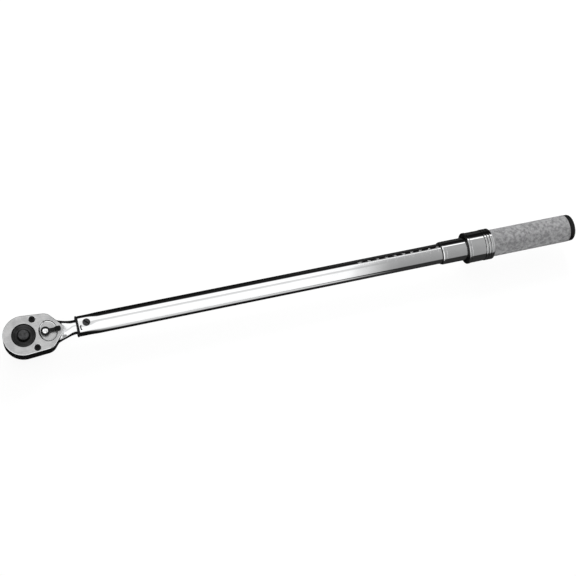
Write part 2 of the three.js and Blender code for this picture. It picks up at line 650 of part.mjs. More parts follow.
// Screw that pushes the spring seat, with a cup for the thrust ball at its front.
function adjustingScrew() {
  const chamfer = 2 * GAP;
  const body = turned([[0, SCREW_FRONT_X], [SCREW_R - chamfer, SCREW_FRONT_X],
    [SCREW_R, SCREW_FRONT_X + chamfer], [SCREW_R, SCREW_END_X], [0, SCREW_END_X]], COARSE);
  const cup = new THREE.SphereGeometry(THRUST_BALL_R + GAP, 12, 8).translate(0, SEAT.rear, 0);
  return piece('adjusting_screw', geometryOf(solid(body).subtract(solid(cup))), BRIGHT_STEEL);
}

// Threaded plug fixed in the tube's rear end by two radial screws.
function adjusterNut() {
  const { front, rear, r } = NUT;
  const bore = SCREW_R + GAP;
  const body = turned([[bore, front], [r, front], [r, rear], [bore, rear]], FINE);
  const hole = rod(NUT_SCREW.r + GAP, -2 * TUBE_R, 2 * TUBE_R).rotateZ(Math.PI / 2)
    .translate(0, NUT_SCREW.x, 0);
  return piece('adjuster_nut', geometryOf(solid(body).subtract(solid(hole))), BRASS);
}

function nutScrew(name, side) {
  const { x, r, inner, outer } = NUT_SCREW;
  const body = rod(r, inner, outer, COARSE);
  const half = SLOT.width / 4;
  const slot = block([-2 * r, outer - SLOT.depth, -half], [2 * r, outer + CUT, half]);
  const mesh = piece(name, geometryOf(solid(body).subtract(solid(slot))), BLACK_OXIDE);
  mesh.rotation.z = side * Math.PI / 2;
  mesh.position.set(0, x, 0);
  return mesh;
}

// Sleeve that slides over the tube's scale. It runs on under the collar and the grip.
function thimble() {
  const { front, rear, r, bore, bevel } = THIMBLE;
  const body = solid(turned([[bore, front], [bore + GAP, front], [r, front + bevel], [r, rear],
    [bore, rear]]));
  const pinHole = rod(PLUG_PIN.r + GAP, 0, 2 * TUBE_R).rotateZ(-Math.PI / 2).translate(0, PLUG_PIN.x, 0);
  const ballHole = rod(LOCK_BALL.r + GAP / 2, -2 * TUBE_R, 2 * TUBE_R).rotateZ(Math.PI / 2)
    .translate(0, LOCK_BALL.x, 0);
  return piece('thimble', geometryOf(body.subtract(solid(pinHole)).subtract(solid(ballHole))), CHROME);
}

function grip() {
  const { front, rear, r, bore, edge } = GRIP;
  return piece('grip', turned([[bore, front], [r - edge, front], [r, front + edge], [r, rear - edge],
    [r - edge, rear], [bore, rear]]), KNURLED_STEEL);
}

// Plug that fixes the thimble to the adjusting screw.
function handlePlug() {
  const bore = SCREW_R + GAP;
  const body = turned([[bore, PLUG.front], [PLUG.r, PLUG.front], [PLUG.r, PLUG.rear], [bore, PLUG.rear]]);
  const hole = rod(PLUG_PIN.r + GAP, PLUG_PIN.inner - CUT, 2 * TUBE_R).rotateZ(-Math.PI / 2)
    .translate(0, PLUG_PIN.x, 0);
  return piece('handle_plug', geometryOf(solid(body).subtract(solid(hole))), BRIGHT_STEEL);
}

function plugPin() {
  const mesh = piece('plug_pin', rod(PLUG_PIN.r, PLUG_PIN.inner, PLUG_PIN.outer), BLACK_OXIDE);
  mesh.rotation.z = -Math.PI / 2;
  mesh.position.y = PLUG_PIN.x;
  return mesh;
}

function lockNut() {
  const { front, rear, r } = LOCK_NUT;
  const body = solid(rod(r, front, rear, 6)).subtract(solid(rod(SCREW_R + GAP, front - CUT, rear + CUT)));
  return piece('lock_nut', geometryOf(body), BRIGHT_STEEL);
}

function endCap() {
  const { front, rear, r, edge, spigotFront, spigotR } = CAP;
  const steps = 4;
  const dome = Array.from({ length: steps + 1 }, (_, i) => {
    const angle = i * Math.PI / (2 * steps);
    return [r - edge * (1 - Math.cos(angle)), rear - edge * (1 - Math.sin(angle))];
  });
  const profile = [[0, spigotFront], [spigotR, spigotFront], [spigotR, front], [r, front], ...dome,
    [0, rear]];
  return piece('end_cap', turned(profile), BLACK_PLASTIC);
}

// Rounded outer edge of a raised band, as corners in order of rising station.
function band(radius, from, to, edge) {
  return [[radius - edge, from], [radius, from + edge], [radius, to - edge], [radius - edge, to]];
}

// Waisted collar: round front flange, filleted waist and a rear flange of three ridges.
function lockCollar() {
  const { front, rear, flangeR, waistR, rearR, flange, ridges, ridge, fillet, edge } = COLLAR;
  const rearFlange = Array.from({ length: ridges }, (_, i) => {
    const start = rear - (ridges - i) * ridge;
    return band(rearR, start, start + ridge, edge);
  }).flat();
  const waist = [[waistR, front + flange + fillet], [waistR, rear - ridges * ridge - fillet]];
  const outside = [...band(flangeR, front, front + flange, edge), ...waist, ...rearFlange];
  const recess = [STOP_RING.r + GAP, 2 * GAP + STOP_RING.rear];
  const inside = [[COLLAR_REAR_BORE_R, rear], [COLLAR_REAR_BORE_R, COLLAR_STEP_X],
    [COLLAR_GROOVE_R, COLLAR_STEP_X], [COLLAR_GROOVE_R, COLLAR_GROOVE_X],
    [COLLAR_BORE_R, COLLAR_GROOVE_X], [COLLAR_BORE_R, recess[1]], recess, [recess[0], front]];
  return piece('lock_collar', turned([...outside, ...inside]), CHROME);
}

// Snap ring that stops the collar's travel towards the scale.
function stopRing() {
  const { front, rear, r } = STOP_RING;
  return piece('stop_ring', turned([[COLLAR_BORE_R, front], [r, front], [r, rear],
    [COLLAR_BORE_R, rear]]), BLACK_OXIDE);
}

function lockBall(name, side) {
  const mesh = ball(name, LOCK_BALL.r);
  mesh.position.set(side * LOCK_BALL.at, LOCK_BALL.x, 0);
  return mesh;
}

function collarSpring() {
  return piece('collar_spring', coil(COLLAR_SPRING, 12), BRIGHT_STEEL);
}

// Group whose Y axis lies along the tube.
function alongTube(...pieces) {
  const group = new THREE.Group();
  group.position.z = TUBE_Z;
  group.rotation.z = -Math.PI / 2;
  return group.add(...pieces);
}

function ratchetHead() {
  const group = new THREE.Group();
  return group.add(headBody(), coverPlate(), coverScrew('cover_screw_left', 1),
    coverScrew('cover_screw_right', -1), ratchetGear(), releaseButton(), releaseRod(), buttonSpring(),
    detentBall(), reversingLever(), pawlShaft(), pawlSpring(), pawlBall(), leverScrew(), pawl());
}

const wrench = new THREE.Group();
wrench.add(
  ratchetHead(),
  pivotPin(),
  tiltBlock(),
  alongTube(tube(), mouthSeal(), plunger(), mainSpring(), springSeat(), thrustBall()),
  alongTube(adjustingScrew(), adjusterNut(), nutScrew('nut_screw_left', 1), nutScrew('nut_screw_right', -1)),
  alongTube(thimble(), grip(), handlePlug(), plugPin(), lockNut(), endCap()),
  alongTube(lockCollar(), stopRing(), lockBall('lock_ball_left', 1), lockBall('lock_ball_right', -1),
    collarSpring()),
);

export default wrench;
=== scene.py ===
"""Looks of a click-type torque wrench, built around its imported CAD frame.

Sizes are millimetres in the wrench's own frame: +X runs along the tube towards the grip, +Z points
out of the head's lever side, and the origin is the middle of the drive square's tip face. Meshes are
scaled to metres as they are made, and node trees work in metres.
"""
import logging
import math
from dataclasses import dataclass
from enum import Enum
from typing import Any, Callable, Sequence

import bmesh
import bpy
import numpy as np
from mathutils import Matrix, Vector


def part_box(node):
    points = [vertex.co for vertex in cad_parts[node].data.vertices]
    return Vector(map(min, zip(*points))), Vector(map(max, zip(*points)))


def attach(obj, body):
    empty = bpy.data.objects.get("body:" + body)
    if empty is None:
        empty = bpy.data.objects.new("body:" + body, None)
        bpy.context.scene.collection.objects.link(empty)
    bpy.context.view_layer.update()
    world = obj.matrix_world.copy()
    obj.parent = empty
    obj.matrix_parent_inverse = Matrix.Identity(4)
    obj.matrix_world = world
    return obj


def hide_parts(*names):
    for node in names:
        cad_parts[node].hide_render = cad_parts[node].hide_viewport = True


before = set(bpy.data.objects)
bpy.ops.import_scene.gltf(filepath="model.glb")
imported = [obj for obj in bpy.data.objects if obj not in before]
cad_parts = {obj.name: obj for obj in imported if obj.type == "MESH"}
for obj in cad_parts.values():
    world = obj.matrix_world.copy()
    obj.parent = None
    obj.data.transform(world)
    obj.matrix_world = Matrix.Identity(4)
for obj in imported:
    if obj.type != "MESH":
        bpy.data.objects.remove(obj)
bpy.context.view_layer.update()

MM = 0.001
GAP = 0.3
TURN = 2 * math.pi
Point = tuple[float, float]
log = logging.getLogger("torque_wrench")


class Body(Enum):
    """Bodies of the frame that carry the pieces made here."""

    TUBE = "tube_assembly"
    HEAD = "head"
    GEAR = "gear"
    BUTTON = "button"
    DETENT = "detent"
    LEVER = "lever"
    HANDLE = "handle"
    COLLAR = "collar"


class Along(Enum):
    """Direction of a turned piece's axis."""

    X = 0
    Y = 1
    Z = 2


@dataclass(frozen=True)
class Extent:
    """Box of a CAD node at rest.

    Attributes:
        low: Lowest corner.
        high: Highest corner.
    """

    low: Vector
    high: Vector

    @classmethod
    def of(cls, node: str) -> "Extent":
        """Reads a CAD node's box from the frame."""
        low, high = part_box(node)
        return cls(Vector(low) / MM, Vector(high) / MM)

    @property
    def radius(self) -> float:
        """Half the box's width across Y."""
        return (self.high.y - self.low.y) / 2

    @property
    def middle(self) -> Vector:
        """Centre of the box."""
        return (self.low + self.high) / 2


TUBE_AXIS = Extent.of("tube").middle.z


# Outlines and profiles


def arc(centre: Point, radius: float, start: float, end: float, steps: int) -> list[Point]:
    """Makes the points of an arc.

    Args:
        centre: Centre of the arc.
        radius: Radius of the arc.
        start: Angle of the first point, in radians.
        end: Angle of the last point, in radians.
        steps: Number of chords.

    Returns:
        The points from start to end, both included.
    """
    angles = [start + (end - start) * i / steps for i in range(steps + 1)]
    return [(centre[0] + radius * math.cos(a), centre[1] + radius * math.sin(a)) for a in angles]


def rounded(corners: Sequence[Sequence[float]], closed: bool = False, steps: int = 4) -> list[Point]:
    """Rounds the corners of a polyline.

    Args:
        corners: Corners as (u, v) or (u, v, rounding radius).
        closed: Whether the last corner joins the first.
        steps: Number of chords in each rounding.

    Returns:
        The points of the rounded polyline.
    """
    points: list[Point] = []
    for i, corner in enumerate(corners):
        here = Vector(corner[:2])
        radius = corner[2] if len(corner) > 2 else 0.0
        if not radius or (not closed and i in (0, len(corners) - 1)):
            points.append((here.x, here.y))
            continue
        back = (Vector(corners[i - 1][:2]) - here).normalized()
        ahead = (Vector(corners[(i + 1) % len(corners)][:2]) - here).normalized()
        half = back.angle(ahead) / 2
        centre = here + (back + ahead).normalized() * radius / math.sin(half)
        first = here + back * radius / math.tan(half) - centre
        last = here + ahead * radius / math.tan(half) - centre
        start = math.atan2(first.y, first.x)
        sweep = math.remainder(math.atan2(last.y, last.x) - start, TURN)
        points += arc((centre.x, centre.y), radius, start, start + sweep, steps)
    return points


def inset(outline: Sequence[Point], distance: float) -> np.ndarray:
    """Moves a counter-clockwise outline inwards.

    Args:
        outline: Points of the closed outline.
        distance: How far its sides move in.

    Returns:
        The moved points, one row each.
    """
    points = np.array(outline, float)
    side = np.roll(points, -1, axis=0) - points
    side /= np.linalg.norm(side, axis=1, keepdims=True)
    inward = np.stack([-side[:, 1], side[:, 0]], axis=1)
    both = inward + np.roll(inward, 1, axis=0)
    both /= np.maximum((both * inward).sum(axis=1, keepdims=True), 0.3)
    return points + distance * both


def circle(radius: float, centre: Point = (0.0, 0.0), steps: int = 64) -> list[Point]:
    """Makes a counter-clockwise circle."""
    return arc(centre, radius, 0, TURN, steps)[:-1]


def rounded_box(half_width: float, half_height: float, corner: float, steps: int = 8) -> list[Point]:
    """Makes a counter-clockwise rectangle with rounded corners.

    Args:
        half_width: Half its width.
        half_height: Half its height.
        corner: Radius of its corners.
        steps: Number of chords in each corner.

    Returns:
        The outline's points.
    """
    points: list[Point] = []
    for quarter, (u, v) in enumerate([(1, 1), (-1, 1), (-1, -1), (1, -1)]):
        centre = (u * (half_width - corner), v * (half_height - corner))
        points += arc(centre, corner, quarter * TURN / 4, (quarter + 1) * TURN / 4, steps)
    return points


def edge_levels(bottom: float, top: float, low_edge: float, top_edge: float,
                steps: int = 5) -> list[Point]:
    """Gives the heights and insets of a slab with rounded rims.

    Args:
        bottom: Height of its underside.
        top: Height of its upper face.
        low_edge: Rounding radius of the lower rim.
        top_edge: Rounding radius of the upper rim.
        steps: Number of chords in each rounding.

    Returns:
        Pairs of height and inset, from the bottom up.
    """
    levels = [(bottom + low_edge * (1 - math.cos(a)), low_edge * (1 - math.sin(a)))
              for a in np.linspace(0, TURN / 4, steps + 1)]
    levels += [(top - top_edge * (1 - math.sin(a)), top_edge * (1 - math.cos(a)))
               for a in np.linspace(0, TURN / 4, steps + 1)]
    return levels


# Workpieces


@dataclass
class Workpiece:
    """A closed mesh in the making, whose object stays at the origin.

    Attributes:
        obj: The Blender object.
    """

    obj: bpy.types.Object

    @classmethod
    def of_faces(cls, name: str, points: Sequence[Sequence[float]],
                 faces: Sequence[Sequence[int]]) -> "Workpiece":
        """Makes a workpiece from points in millimetres.

        Args:
            name: Name of the piece.
            points: The mesh's points.
            faces: The corners of each face.

        Returns:
            The workpiece, with its faces outwards.
        """
        mesh = bpy.data.meshes.new(name)
        mesh.from_pydata((np.asarray(points, float) * MM).tolist(), [], faces)
        shell = bmesh.new()
        shell.from_mesh(mesh)
        bmesh.ops.remove_doubles(shell, verts=shell.verts, dist=1e-8)
        bmesh.ops.recalc_face_normals(shell, faces=shell.faces)
        shell.to_mesh(mesh)
        shell.free()
        obj = bpy.data.objects.new(name, mesh)
        bpy.context.scene.collection.objects.link(obj)
        return cls(obj)

    def bake(self) -> "Workpiece":
        """Turns the live modifiers into plain mesh."""
        bpy.context.view_layer.update()
        evaluated = self.obj.evaluated_get(bpy.context.evaluated_depsgraph_get())
        mesh = bpy.data.meshes.new_from_object(evaluated)
        self.obj.modifiers.clear()
        self.obj.data = mesh
        return self

    def _combine(self, operation: str, tools: Sequence["Workpiece"]) -> "Workpiece":
        """Applies a boolean with each tool, and removes the tools."""
        for tool in tools:
            modifier = self.obj.modifiers.new("combine", "BOOLEAN")
            modifier.operation = operation
            modifier.solver = "MANIFOLD"
            modifier.object = tool.obj
            self.bake()
            bpy.data.objects.remove(tool.obj)
        return self

    def cut(self, *tools: "Workpiece") -> "Workpiece":
        """Takes the tools' shapes away."""
        return self._combine("DIFFERENCE", tools)

    def add(self, *tools: "Workpiece") -> "Workpiece":
        """Joins the tools' shapes on."""
        return self._combine("UNION", tools)

    def keep_inside(self, *tools: "Workpiece") -> "Workpiece":
        """Keeps only what lies inside the tools."""
        return self._combine("INTERSECT", tools)

    def turn(self, angle: float, axis: str, centre: Sequence[float]) -> "Workpiece":
        """Turns the mesh by an angle in radians about an axis through a centre."""
        pivot = Vector(centre) * MM
        turning = Matrix.Translation(pivot) @ Matrix.Rotation(angle, 4, axis) @ Matrix.Translation(-pivot)
        self.obj.data.transform(turning)
        return self

    def forge(self, voxel: float, rounds: int) -> "Workpiece":
        """Blends the joined shapes into one smooth skin, as a forging die does.

        Args:
            voxel: Spacing of the new skin's points.
            rounds: Rounds of smoothing.

        Returns:
            The same workpiece.
        """
        remesh = self.obj.modifiers.new("skin", "REMESH")
        remesh.mode = "VOXEL"
        remesh.voxel_size = voxel * MM
        smooth = self.obj.modifiers.new("smooth", "SMOOTH")
        smooth.factor = 0.5
        smooth.iterations = rounds
        return self.bake()

    def grow(self, tree: bpy.types.GeometryNodeTree, values: dict[str, Any]) -> "Workpiece":
        """Runs a geometry node tree on the mesh and keeps its result.

        Args:
            tree: The tree to run.
            values: Its inputs by name.

        Returns:
            The same workpiece.
        """
        modifier = self.obj.modifiers.new(tree.name, "NODES")
        modifier.node_group = tree
        for item in tree.interface.items_tree:
            if item.item_type == "SOCKET" and item.in_out == "INPUT" and item.name in values:
                modifier[item.identifier] = values[item.name]
        return self.bake()

    def shade(self, sharp: float = 32.0) -> "Workpiece":
        """Shades the skin smooth between edges sharper than an angle in degrees."""
        self.obj.data.shade_smooth()
        self.obj.data.set_sharp_from_angle(angle=math.radians(sharp))
        weights = self.obj.modifiers.new("flats", "WEIGHTED_NORMAL")
        weights.keep_sharp = True
        return self.bake()

    def fit(self, body: Body, finish: "Finish", *nodes: str) -> "Workpiece":
        """Dresses the piece and hangs it on its body.

        Args:
            body: The body that carries it.
            finish: Its surface.
            nodes: The CAD nodes that it stands for.

        Returns:
            The same workpiece.
        """
        self.obj.data.materials.clear()
        self.obj.data.materials.append(finish.material())
        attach(self.obj, body.value)
        if nodes:
            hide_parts(*nodes)
        log.info("%s: %d faces on %s", self.obj.name, len(self.obj.data.polygons), body.value)
        return self

    def dress_faces(self, finish: "Finish", chosen: Callable[[Vector, Vector], bool]) -> "Workpiece":
        """Gives a second finish to some of the faces.

        Args:
            finish: The finish of the chosen faces.
            chosen: Tells from a face's centre, in millimetres, and its normal whether it gets the finish.

        Returns:
            The same workpiece.
        """
        mesh = self.obj.data
        mesh.materials.append(finish.material())
        for face in mesh.polygons:
            if chosen(face.center / MM, face.normal):
                face.material_index = len(mesh.materials) - 1
        return self


def loft(name: str, rings: Sequence[Sequence[Sequence[float]]], ring_closed: bool = False) -> Workpiece:
    """Skins a row of rings with equal point counts.

    Args:
        name: Name of the piece.
        rings: The rings' points.
        ring_closed: Whether the last ring joins the first, instead of both being capped.

    Returns:
        The closed workpiece.
    """
    count = len(rings[0])
    points = np.concatenate([np.asarray(ring, float) for ring in rings])
    spans = len(rings) if ring_closed else len(rings) - 1
    faces: list[list[int]] = []
    for i in range(spans):
        low, high = i * count, (i + 1) % len(rings) * count
        faces += [[low + j, low + (j + 1) % count, high + (j + 1) % count, high + j] for j in range(count)]
    if not ring_closed:
        faces.append(list(range(count)))
        faces.append(list(range(len(points) - count, len(points))))
    return Workpiece.of_faces(name, points, faces)


def turned(name: str, profile: Sequence[Point], along: Along = Along.X,
           centre: Sequence[float] = (0.0, 0.0, TUBE_AXIS), sleeve: bool = False,
           facets: int = 96) -> Workpiece:
    """Turns a profile about an axis.

    Args:
        name: Name of the piece.
        profile: Pairs of station along the axis and radius.
        along: Direction of the axis.
        centre: A point of the axis.
        sleeve: Whether the profile closes on itself round a bore.
        facets: Number of facets round the piece.

    Returns:
        The turned workpiece.
    """
    others = [axis for axis in range(3) if axis != along.value]
    angles = np.linspace(0, TURN, facets, endpoint=False)
    rings = []
    for station, radius in profile:
        ring = np.zeros((facets, 3))
        ring[:, along.value] = station
        ring[:, others[0]] = centre[others[0]] + radius * np.cos(angles)
        ring[:, others[1]] = centre[others[1]] + radius * np.sin(angles)
        rings.append(ring)
    return loft(name, rings, ring_closed=sleeve)


def upright(name: str, profile: Sequence[Point], centre: Point = (0.0, 0.0), facets: int = 64) -> Workpiece:
    """Turns a profile of height and radius about an axis along Z."""
    return turned(name, profile, Along.Z, (*centre, 0.0), facets=facets)


def drilled(radius: float, bottom: float, top: float, centre: Point, rim: float = 0.0) -> Workpiece:
    """Makes the tool for an upright hole that opens at the top.

    Args:
        radius: Radius of the hole.
        bottom: Height of its floor.
        top: Height of the face that it opens in.
        centre: Its axis.
        rim: Width of the broken edge round its mouth.

    Returns:
        The tool, which reaches a little past the face.
    """
    over = 0.4
    profile = [(bottom, radius), (top - rim, radius), (top + over, radius + rim + over)]
    if not rim:
        profile = [(bottom, radius), (top + over, radius)]
    return upright("drill", profile, centre)


def slab(name: str, outline: Sequence[Point], levels: Sequence[Point]) -> Workpiece:
    """Raises an outline along Z.

    Args:
        name: Name of the piece.
        outline: Counter-clockwise points of the outline.
        levels: Pairs of height and inset, from the bottom up.

    Returns:
        The slab.
    """
    rings = []
    for height, depth in levels:
        flat = inset(outline, depth)
        rings.append(np.column_stack([flat, np.full(len(flat), height)]))
    return loft(name, rings)


def block(low: Sequence[float], high: Sequence[float]) -> Workpiece:
    """Makes a plain cutting block between two corners."""
    outline = [(low[0], low[1]), (high[0], low[1]), (high[0], high[1]), (low[0], high[1])]
    return slab("block", outline, [(low[2], 0), (high[2], 0)])


# Node trees


class Wiring:
    """Lays nodes in a tree and joins them."""

    def __init__(self, tree: bpy.types.NodeTree) -> None:
        """Keeps the tree that the nodes go in."""
        self.tree = tree

    def node(self, kind: str, inputs: dict[Any, Any] | None = None, **settings: Any) -> bpy.types.Node:
        """Adds a node.

        Args:
            kind: The node's type.
            inputs: Values or output sockets for its inputs, by name or place.
            **settings: Its other properties.

        Returns:
            The new node.
        """
        node = self.tree.nodes.new(kind)
        for key, value in settings.items():
            setattr(node, key, value)
        for key, value in (inputs or {}).items():
            if isinstance(value, bpy.types.NodeSocket):
                self.tree.links.new(value, node.inputs[key])
            else:
                node.inputs[key].default_value = value
        return node

    def math(self, operation: str, first: Any, second: Any = 0.0) -> bpy.types.NodeSocket:
        """Adds a math node and returns its result."""
        return self.node("ShaderNodeMath", {0: first, 1: second}, operation=operation).outputs[0]

    def vector(self, x: Any = 0.0, y: Any = 0.0, z: Any = 0.0) -> bpy.types.NodeSocket:
        """Adds a node that puts three numbers in a vector."""
        return self.node("ShaderNodeCombineXYZ", {0: x, 1: y, 2: z}).outputs[0]

    def parts(self, vector: Any) -> list[bpy.types.NodeSocket]:
        """Adds a node that takes a vector apart."""
        return list(self.node("ShaderNodeSeparateXYZ", {0: vector}).outputs)

    def ranged(self, value: Any, low: float, high: float, first: Any = 0.0, last: Any = 1.0,
               smooth: bool = False) -> bpy.types.NodeSocket:
        """Adds a node that maps a value from one range to another.

        Args:
            value: The value to map.
            low: Start of its range.
            high: End of its range.
            first: Result at the start.
            last: Result at the end.
            smooth: Whether the result eases in and out.

        Returns:
            The mapped value.
        """
        kind = "SMOOTHSTEP" if smooth else "LINEAR"
        inputs = {"Value": value, "From Min": low, "From Max": high, "To Min": first, "To Max": last}
        return self.node("ShaderNodeMapRange", inputs, interpolation_type=kind).outputs[0]


def new_tree(name: str, kind: str, inputs: dict[str, str], outputs: dict[str, str]) -> tuple[Wiring, dict]:
    """Makes a node group with named sockets.

    Args:
        name: Name of the group.
        kind: Its type of tree.
        inputs: Socket types of its inputs, by name.
        outputs: Socket types of its outputs, by name.

    Returns:
        The wiring of the group, and its input sockets by name.
    """
    tree = bpy.data.node_groups.new(name, kind)
    for direction, sockets in (("INPUT", inputs), ("OUTPUT", outputs)):
        for label, socket in sockets.items():
            tree.interface.new_socket(name=label, in_out=direction, socket_type=f"NodeSocket{socket}")
    wiring = Wiring(tree)
    entry = wiring.node("NodeGroupInput")
    return wiring, {label: entry.outputs[label] for label in inputs}


def set_on_circle(wiring: Wiring, station: Any, radius: Any, axis: Any, angle: Any) -> bpy.types.NodeSocket:
    """Gives the place at an angle round the tube's axis, measured from +Z towards +Y."""
    across = wiring.math("MULTIPLY", radius, wiring.math("SINE", angle))
    up = wiring.math("MULTIPLY", radius, wiring.math("COSINE", angle))
    return wiring.vector(station, across, wiring.math("ADD", up, axis))


def finish_tree(wiring: Wiring, geometry: Any, material: Any, wrap: Callable | None = None) -> Any:
    """Ends a geometry tree: instances become mesh, and the mesh gets its material.

    Args:
        wiring: The tree's wiring.
        geometry: The last geometry socket.
        material: The material's socket.
        wrap: Gives the place of each point after the instances are mesh.

    Returns:
        The finished tree.
    """
    real = wiring.node("GeometryNodeRealizeInstances", {"Geometry": geometry}).outputs[0]
    if wrap:
        real = wiring.node("GeometryNodeSetPosition", {"Geometry": real, "Position": wrap()}).outputs[0]
    dressed = wiring.node("GeometryNodeSetMaterial", {"Geometry": real, "Material": material})
    wiring.node("NodeGroupOutput", {0: dressed.outputs[0]})
    return wiring.tree


def knurl_tree() -> bpy.types.GeometryNodeTree:
    """Makes the tree that covers a sleeve with staggered rows of blunt pyramids.

    Returns:
        A tree whose input geometry is the plain sleeve.
    """
    numbers = ["Start", "Row Spacing", "Root Radius", "Height", "Tip Share", "Axis"]
    inputs = {"Geometry": "Geometry", **{name: "Float" for name in numbers},
              "Rows": "Int", "Around": "Int", "Seed": "Int", "Material": "Material"}
    wiring, given = new_tree("knurl", "GeometryNodeTree", inputs, {"Geometry": "Geometry"})
    count = wiring.math("MULTIPLY", given["Rows"], given["Around"])
    points = wiring.node("GeometryNodeMeshLine", {"Count": count, "Offset": (0.0, 0.0, 0.0)})
    index = wiring.node("GeometryNodeInputIndex").outputs[0]
    row = wiring.math("FLOOR", wiring.math("DIVIDE", index, given["Around"]))
    column = wiring.math("SUBTRACT", index, wiring.math("MULTIPLY", row, given["Around"]))
    stagger = wiring.math("MULTIPLY", wiring.math("MODULO", row, 2.0), 0.5)
    step = wiring.math("DIVIDE", TURN, given["Around"])
    angle = wiring.math("MULTIPLY", wiring.math("ADD", column, stagger), step)
    station = wiring.math("ADD", given["Start"], wiring.math("MULTIPLY", row, given["Row Spacing"]))
    place = set_on_circle(wiring, station, given["Root Radius"], given["Axis"], angle)
    placed = wiring.node("GeometryNodeSetPosition", {"Geometry": points.outputs[0], "Position": place})
    half = wiring.math("MULTIPLY", wiring.math("MULTIPLY", step, 0.5), given["Root Radius"])
    tip = wiring.math("MULTIPLY", half, given["Tip Share"])
    pyramid = wiring.node("GeometryNodeMeshCone", {
        "Vertices": 4, "Radius Top": tip, "Radius Bottom": half, "Depth": given["Height"]})
    wear = wiring.node("FunctionNodeRandomValue", {2: 0.9, 3: 1.0, "Seed": given["Seed"]}).outputs[1]
    scale = wiring.vector(wiring.math("DIVIDE", given["Row Spacing"], half), 1.0, wear)
    euler = wiring.vector(wiring.math("MULTIPLY", angle, -1.0))
    turning = wiring.node("FunctionNodeEulerToRotation", {0: euler}).outputs[0]
    teeth = wiring.node("GeometryNodeInstanceOnPoints", {
        "Points": placed.outputs[0], "Instance": pyramid.outputs[0], "Rotation": turning, "Scale": scale})
    joined = wiring.node("GeometryNodeJoinGeometry", {0: teeth.outputs[0]})
    wiring.tree.links.new(given["Geometry"], joined.inputs[0])
    return finish_tree(wiring, joined.outputs[0], given["Material"])


def graduation_tree() -> bpy.types.GeometryNodeTree:
    """Makes the tree that rules a straight scale and wraps it round the tube.

    Returns:
        A tree whose input geometry is the scale's flat numerals.
    """
    numbers = ["Start", "Spacing", "Short", "Long", "Line", "Proud", "Radius", "Axis"]
    inputs = {"Geometry": "Geometry", **{name: "Float" for name in numbers},
              "Count": "Int", "Long Every": "Int", "Material": "Material"}
    wiring, given = new_tree("graduations", "GeometryNodeTree", inputs, {"Geometry": "Geometry"})
    spacing = wiring.vector(given["Spacing"])
    line = wiring.node("GeometryNodeMeshLine", {
        "Count": given["Count"], "Start Location": wiring.vector(given["Start"]), "Offset": spacing})
    index = wiring.node("GeometryNodeInputIndex").outputs[0]
    is_short = wiring.math("GREATER_THAN", wiring.math("MODULO", index, given["Long Every"]), 0.5)
    length = wiring.ranged(is_short, 0.0, 1.0, given["Long"], given["Short"])
    drop = wiring.vector(0.0, wiring.math("MULTIPLY", length, -0.5))
    points = wiring.node("GeometryNodeSetPosition", {"Geometry": line.outputs[0], "Offset": drop})
    bar = wiring.node("GeometryNodeMeshCube", {
        "Size": wiring.vector(given["Line"], 1.0, given["Proud"]), "Vertices Y": 9})
    ticks = wiring.node("GeometryNodeInstanceOnPoints", {
        "Points": points.outputs[0], "Instance": bar.outputs[0], "Scale": wiring.vector(1.0, length, 1.0)})
    reach = wiring.math("MULTIPLY", given["Spacing"], wiring.math("SUBTRACT", given["Count"], 1.0))
    datum = wiring.node("GeometryNodeMeshCube", {
        "Size": wiring.vector(reach, given["Line"], given["Proud"])})
    centre = wiring.vector(wiring.math("ADD", given["Start"], wiring.math("MULTIPLY", reach, 0.5)))
    datum = wiring.node("GeometryNodeTransform", {"Geometry": datum.outputs[0], "Translation": centre})
    joined = wiring.node("GeometryNodeJoinGeometry", {0: ticks.outputs[0]})
    wiring.tree.links.new(datum.outputs[0], joined.inputs[0])
    wiring.tree.links.new(given["Geometry"], joined.inputs[0])

    def wrap() -> bpy.types.NodeSocket:
        """Lays the flat marks round the tube."""
        x, y, z = wiring.parts(wiring.node("GeometryNodeInputPosition").outputs[0])
        reach_out = wiring.math("ADD", given["Radius"], z)
        return set_on_circle(wiring, x, reach_out, given["Axis"], wiring.math("DIVIDE", y, given["Radius"]))

    return finish_tree(wiring, joined.outputs[0], given["Material"], wrap)


def ring_marks_tree() -> bpy.types.GeometryNodeTree:
    """Makes the tree that sets short marks round a turned edge, each tilted to the edge's slope."""
    numbers = ["Station", "Radius", "Length", "Line", "Proud", "Slope", "Axis"]
    inputs = {"Geometry": "Geometry", **{name: "Float" for name in numbers},
              "Count": "Int", "Material": "Material"}
    wiring, given = new_tree("ring_marks", "GeometryNodeTree", inputs, {"Geometry": "Geometry"})
    points = wiring.node("GeometryNodeMeshLine", {"Count": given["Count"], "Offset": (0.0, 0.0, 0.0)})
    index = wiring.node("GeometryNodeInputIndex").outputs[0]
    angle = wiring.math("DIVIDE", wiring.math("MULTIPLY", index, TURN), given["Count"])
    place = set_on_circle(wiring, given["Station"], given["Radius"], given["Axis"], angle)
    placed = wiring.node("GeometryNodeSetPosition", {"Geometry": points.outputs[0], "Position": place})
    bar = wiring.node("GeometryNodeMeshCube", {
        "Size": wiring.vector(given["Length"], given["Line"], given["Proud"])})
    tilted = wiring.node("GeometryNodeTransform", {
        "Geometry": bar.outputs[0],
        "Rotation": wiring.node("FunctionNodeEulerToRotation", {
            0: wiring.vector(0.0, given["Slope"])}).outputs[0]})
    turning = wiring.node("FunctionNodeEulerToRotation", {
        0: wiring.vector(wiring.math("MULTIPLY", angle, -1.0))}).outputs[0]
    marks = wiring.node("GeometryNodeInstanceOnPoints", {
        "Points": placed.outputs[0], "Instance": tilted.outputs[0], "Rotation": turning})
    return finish_tree(wiring, marks.outputs[0], given["Material"])


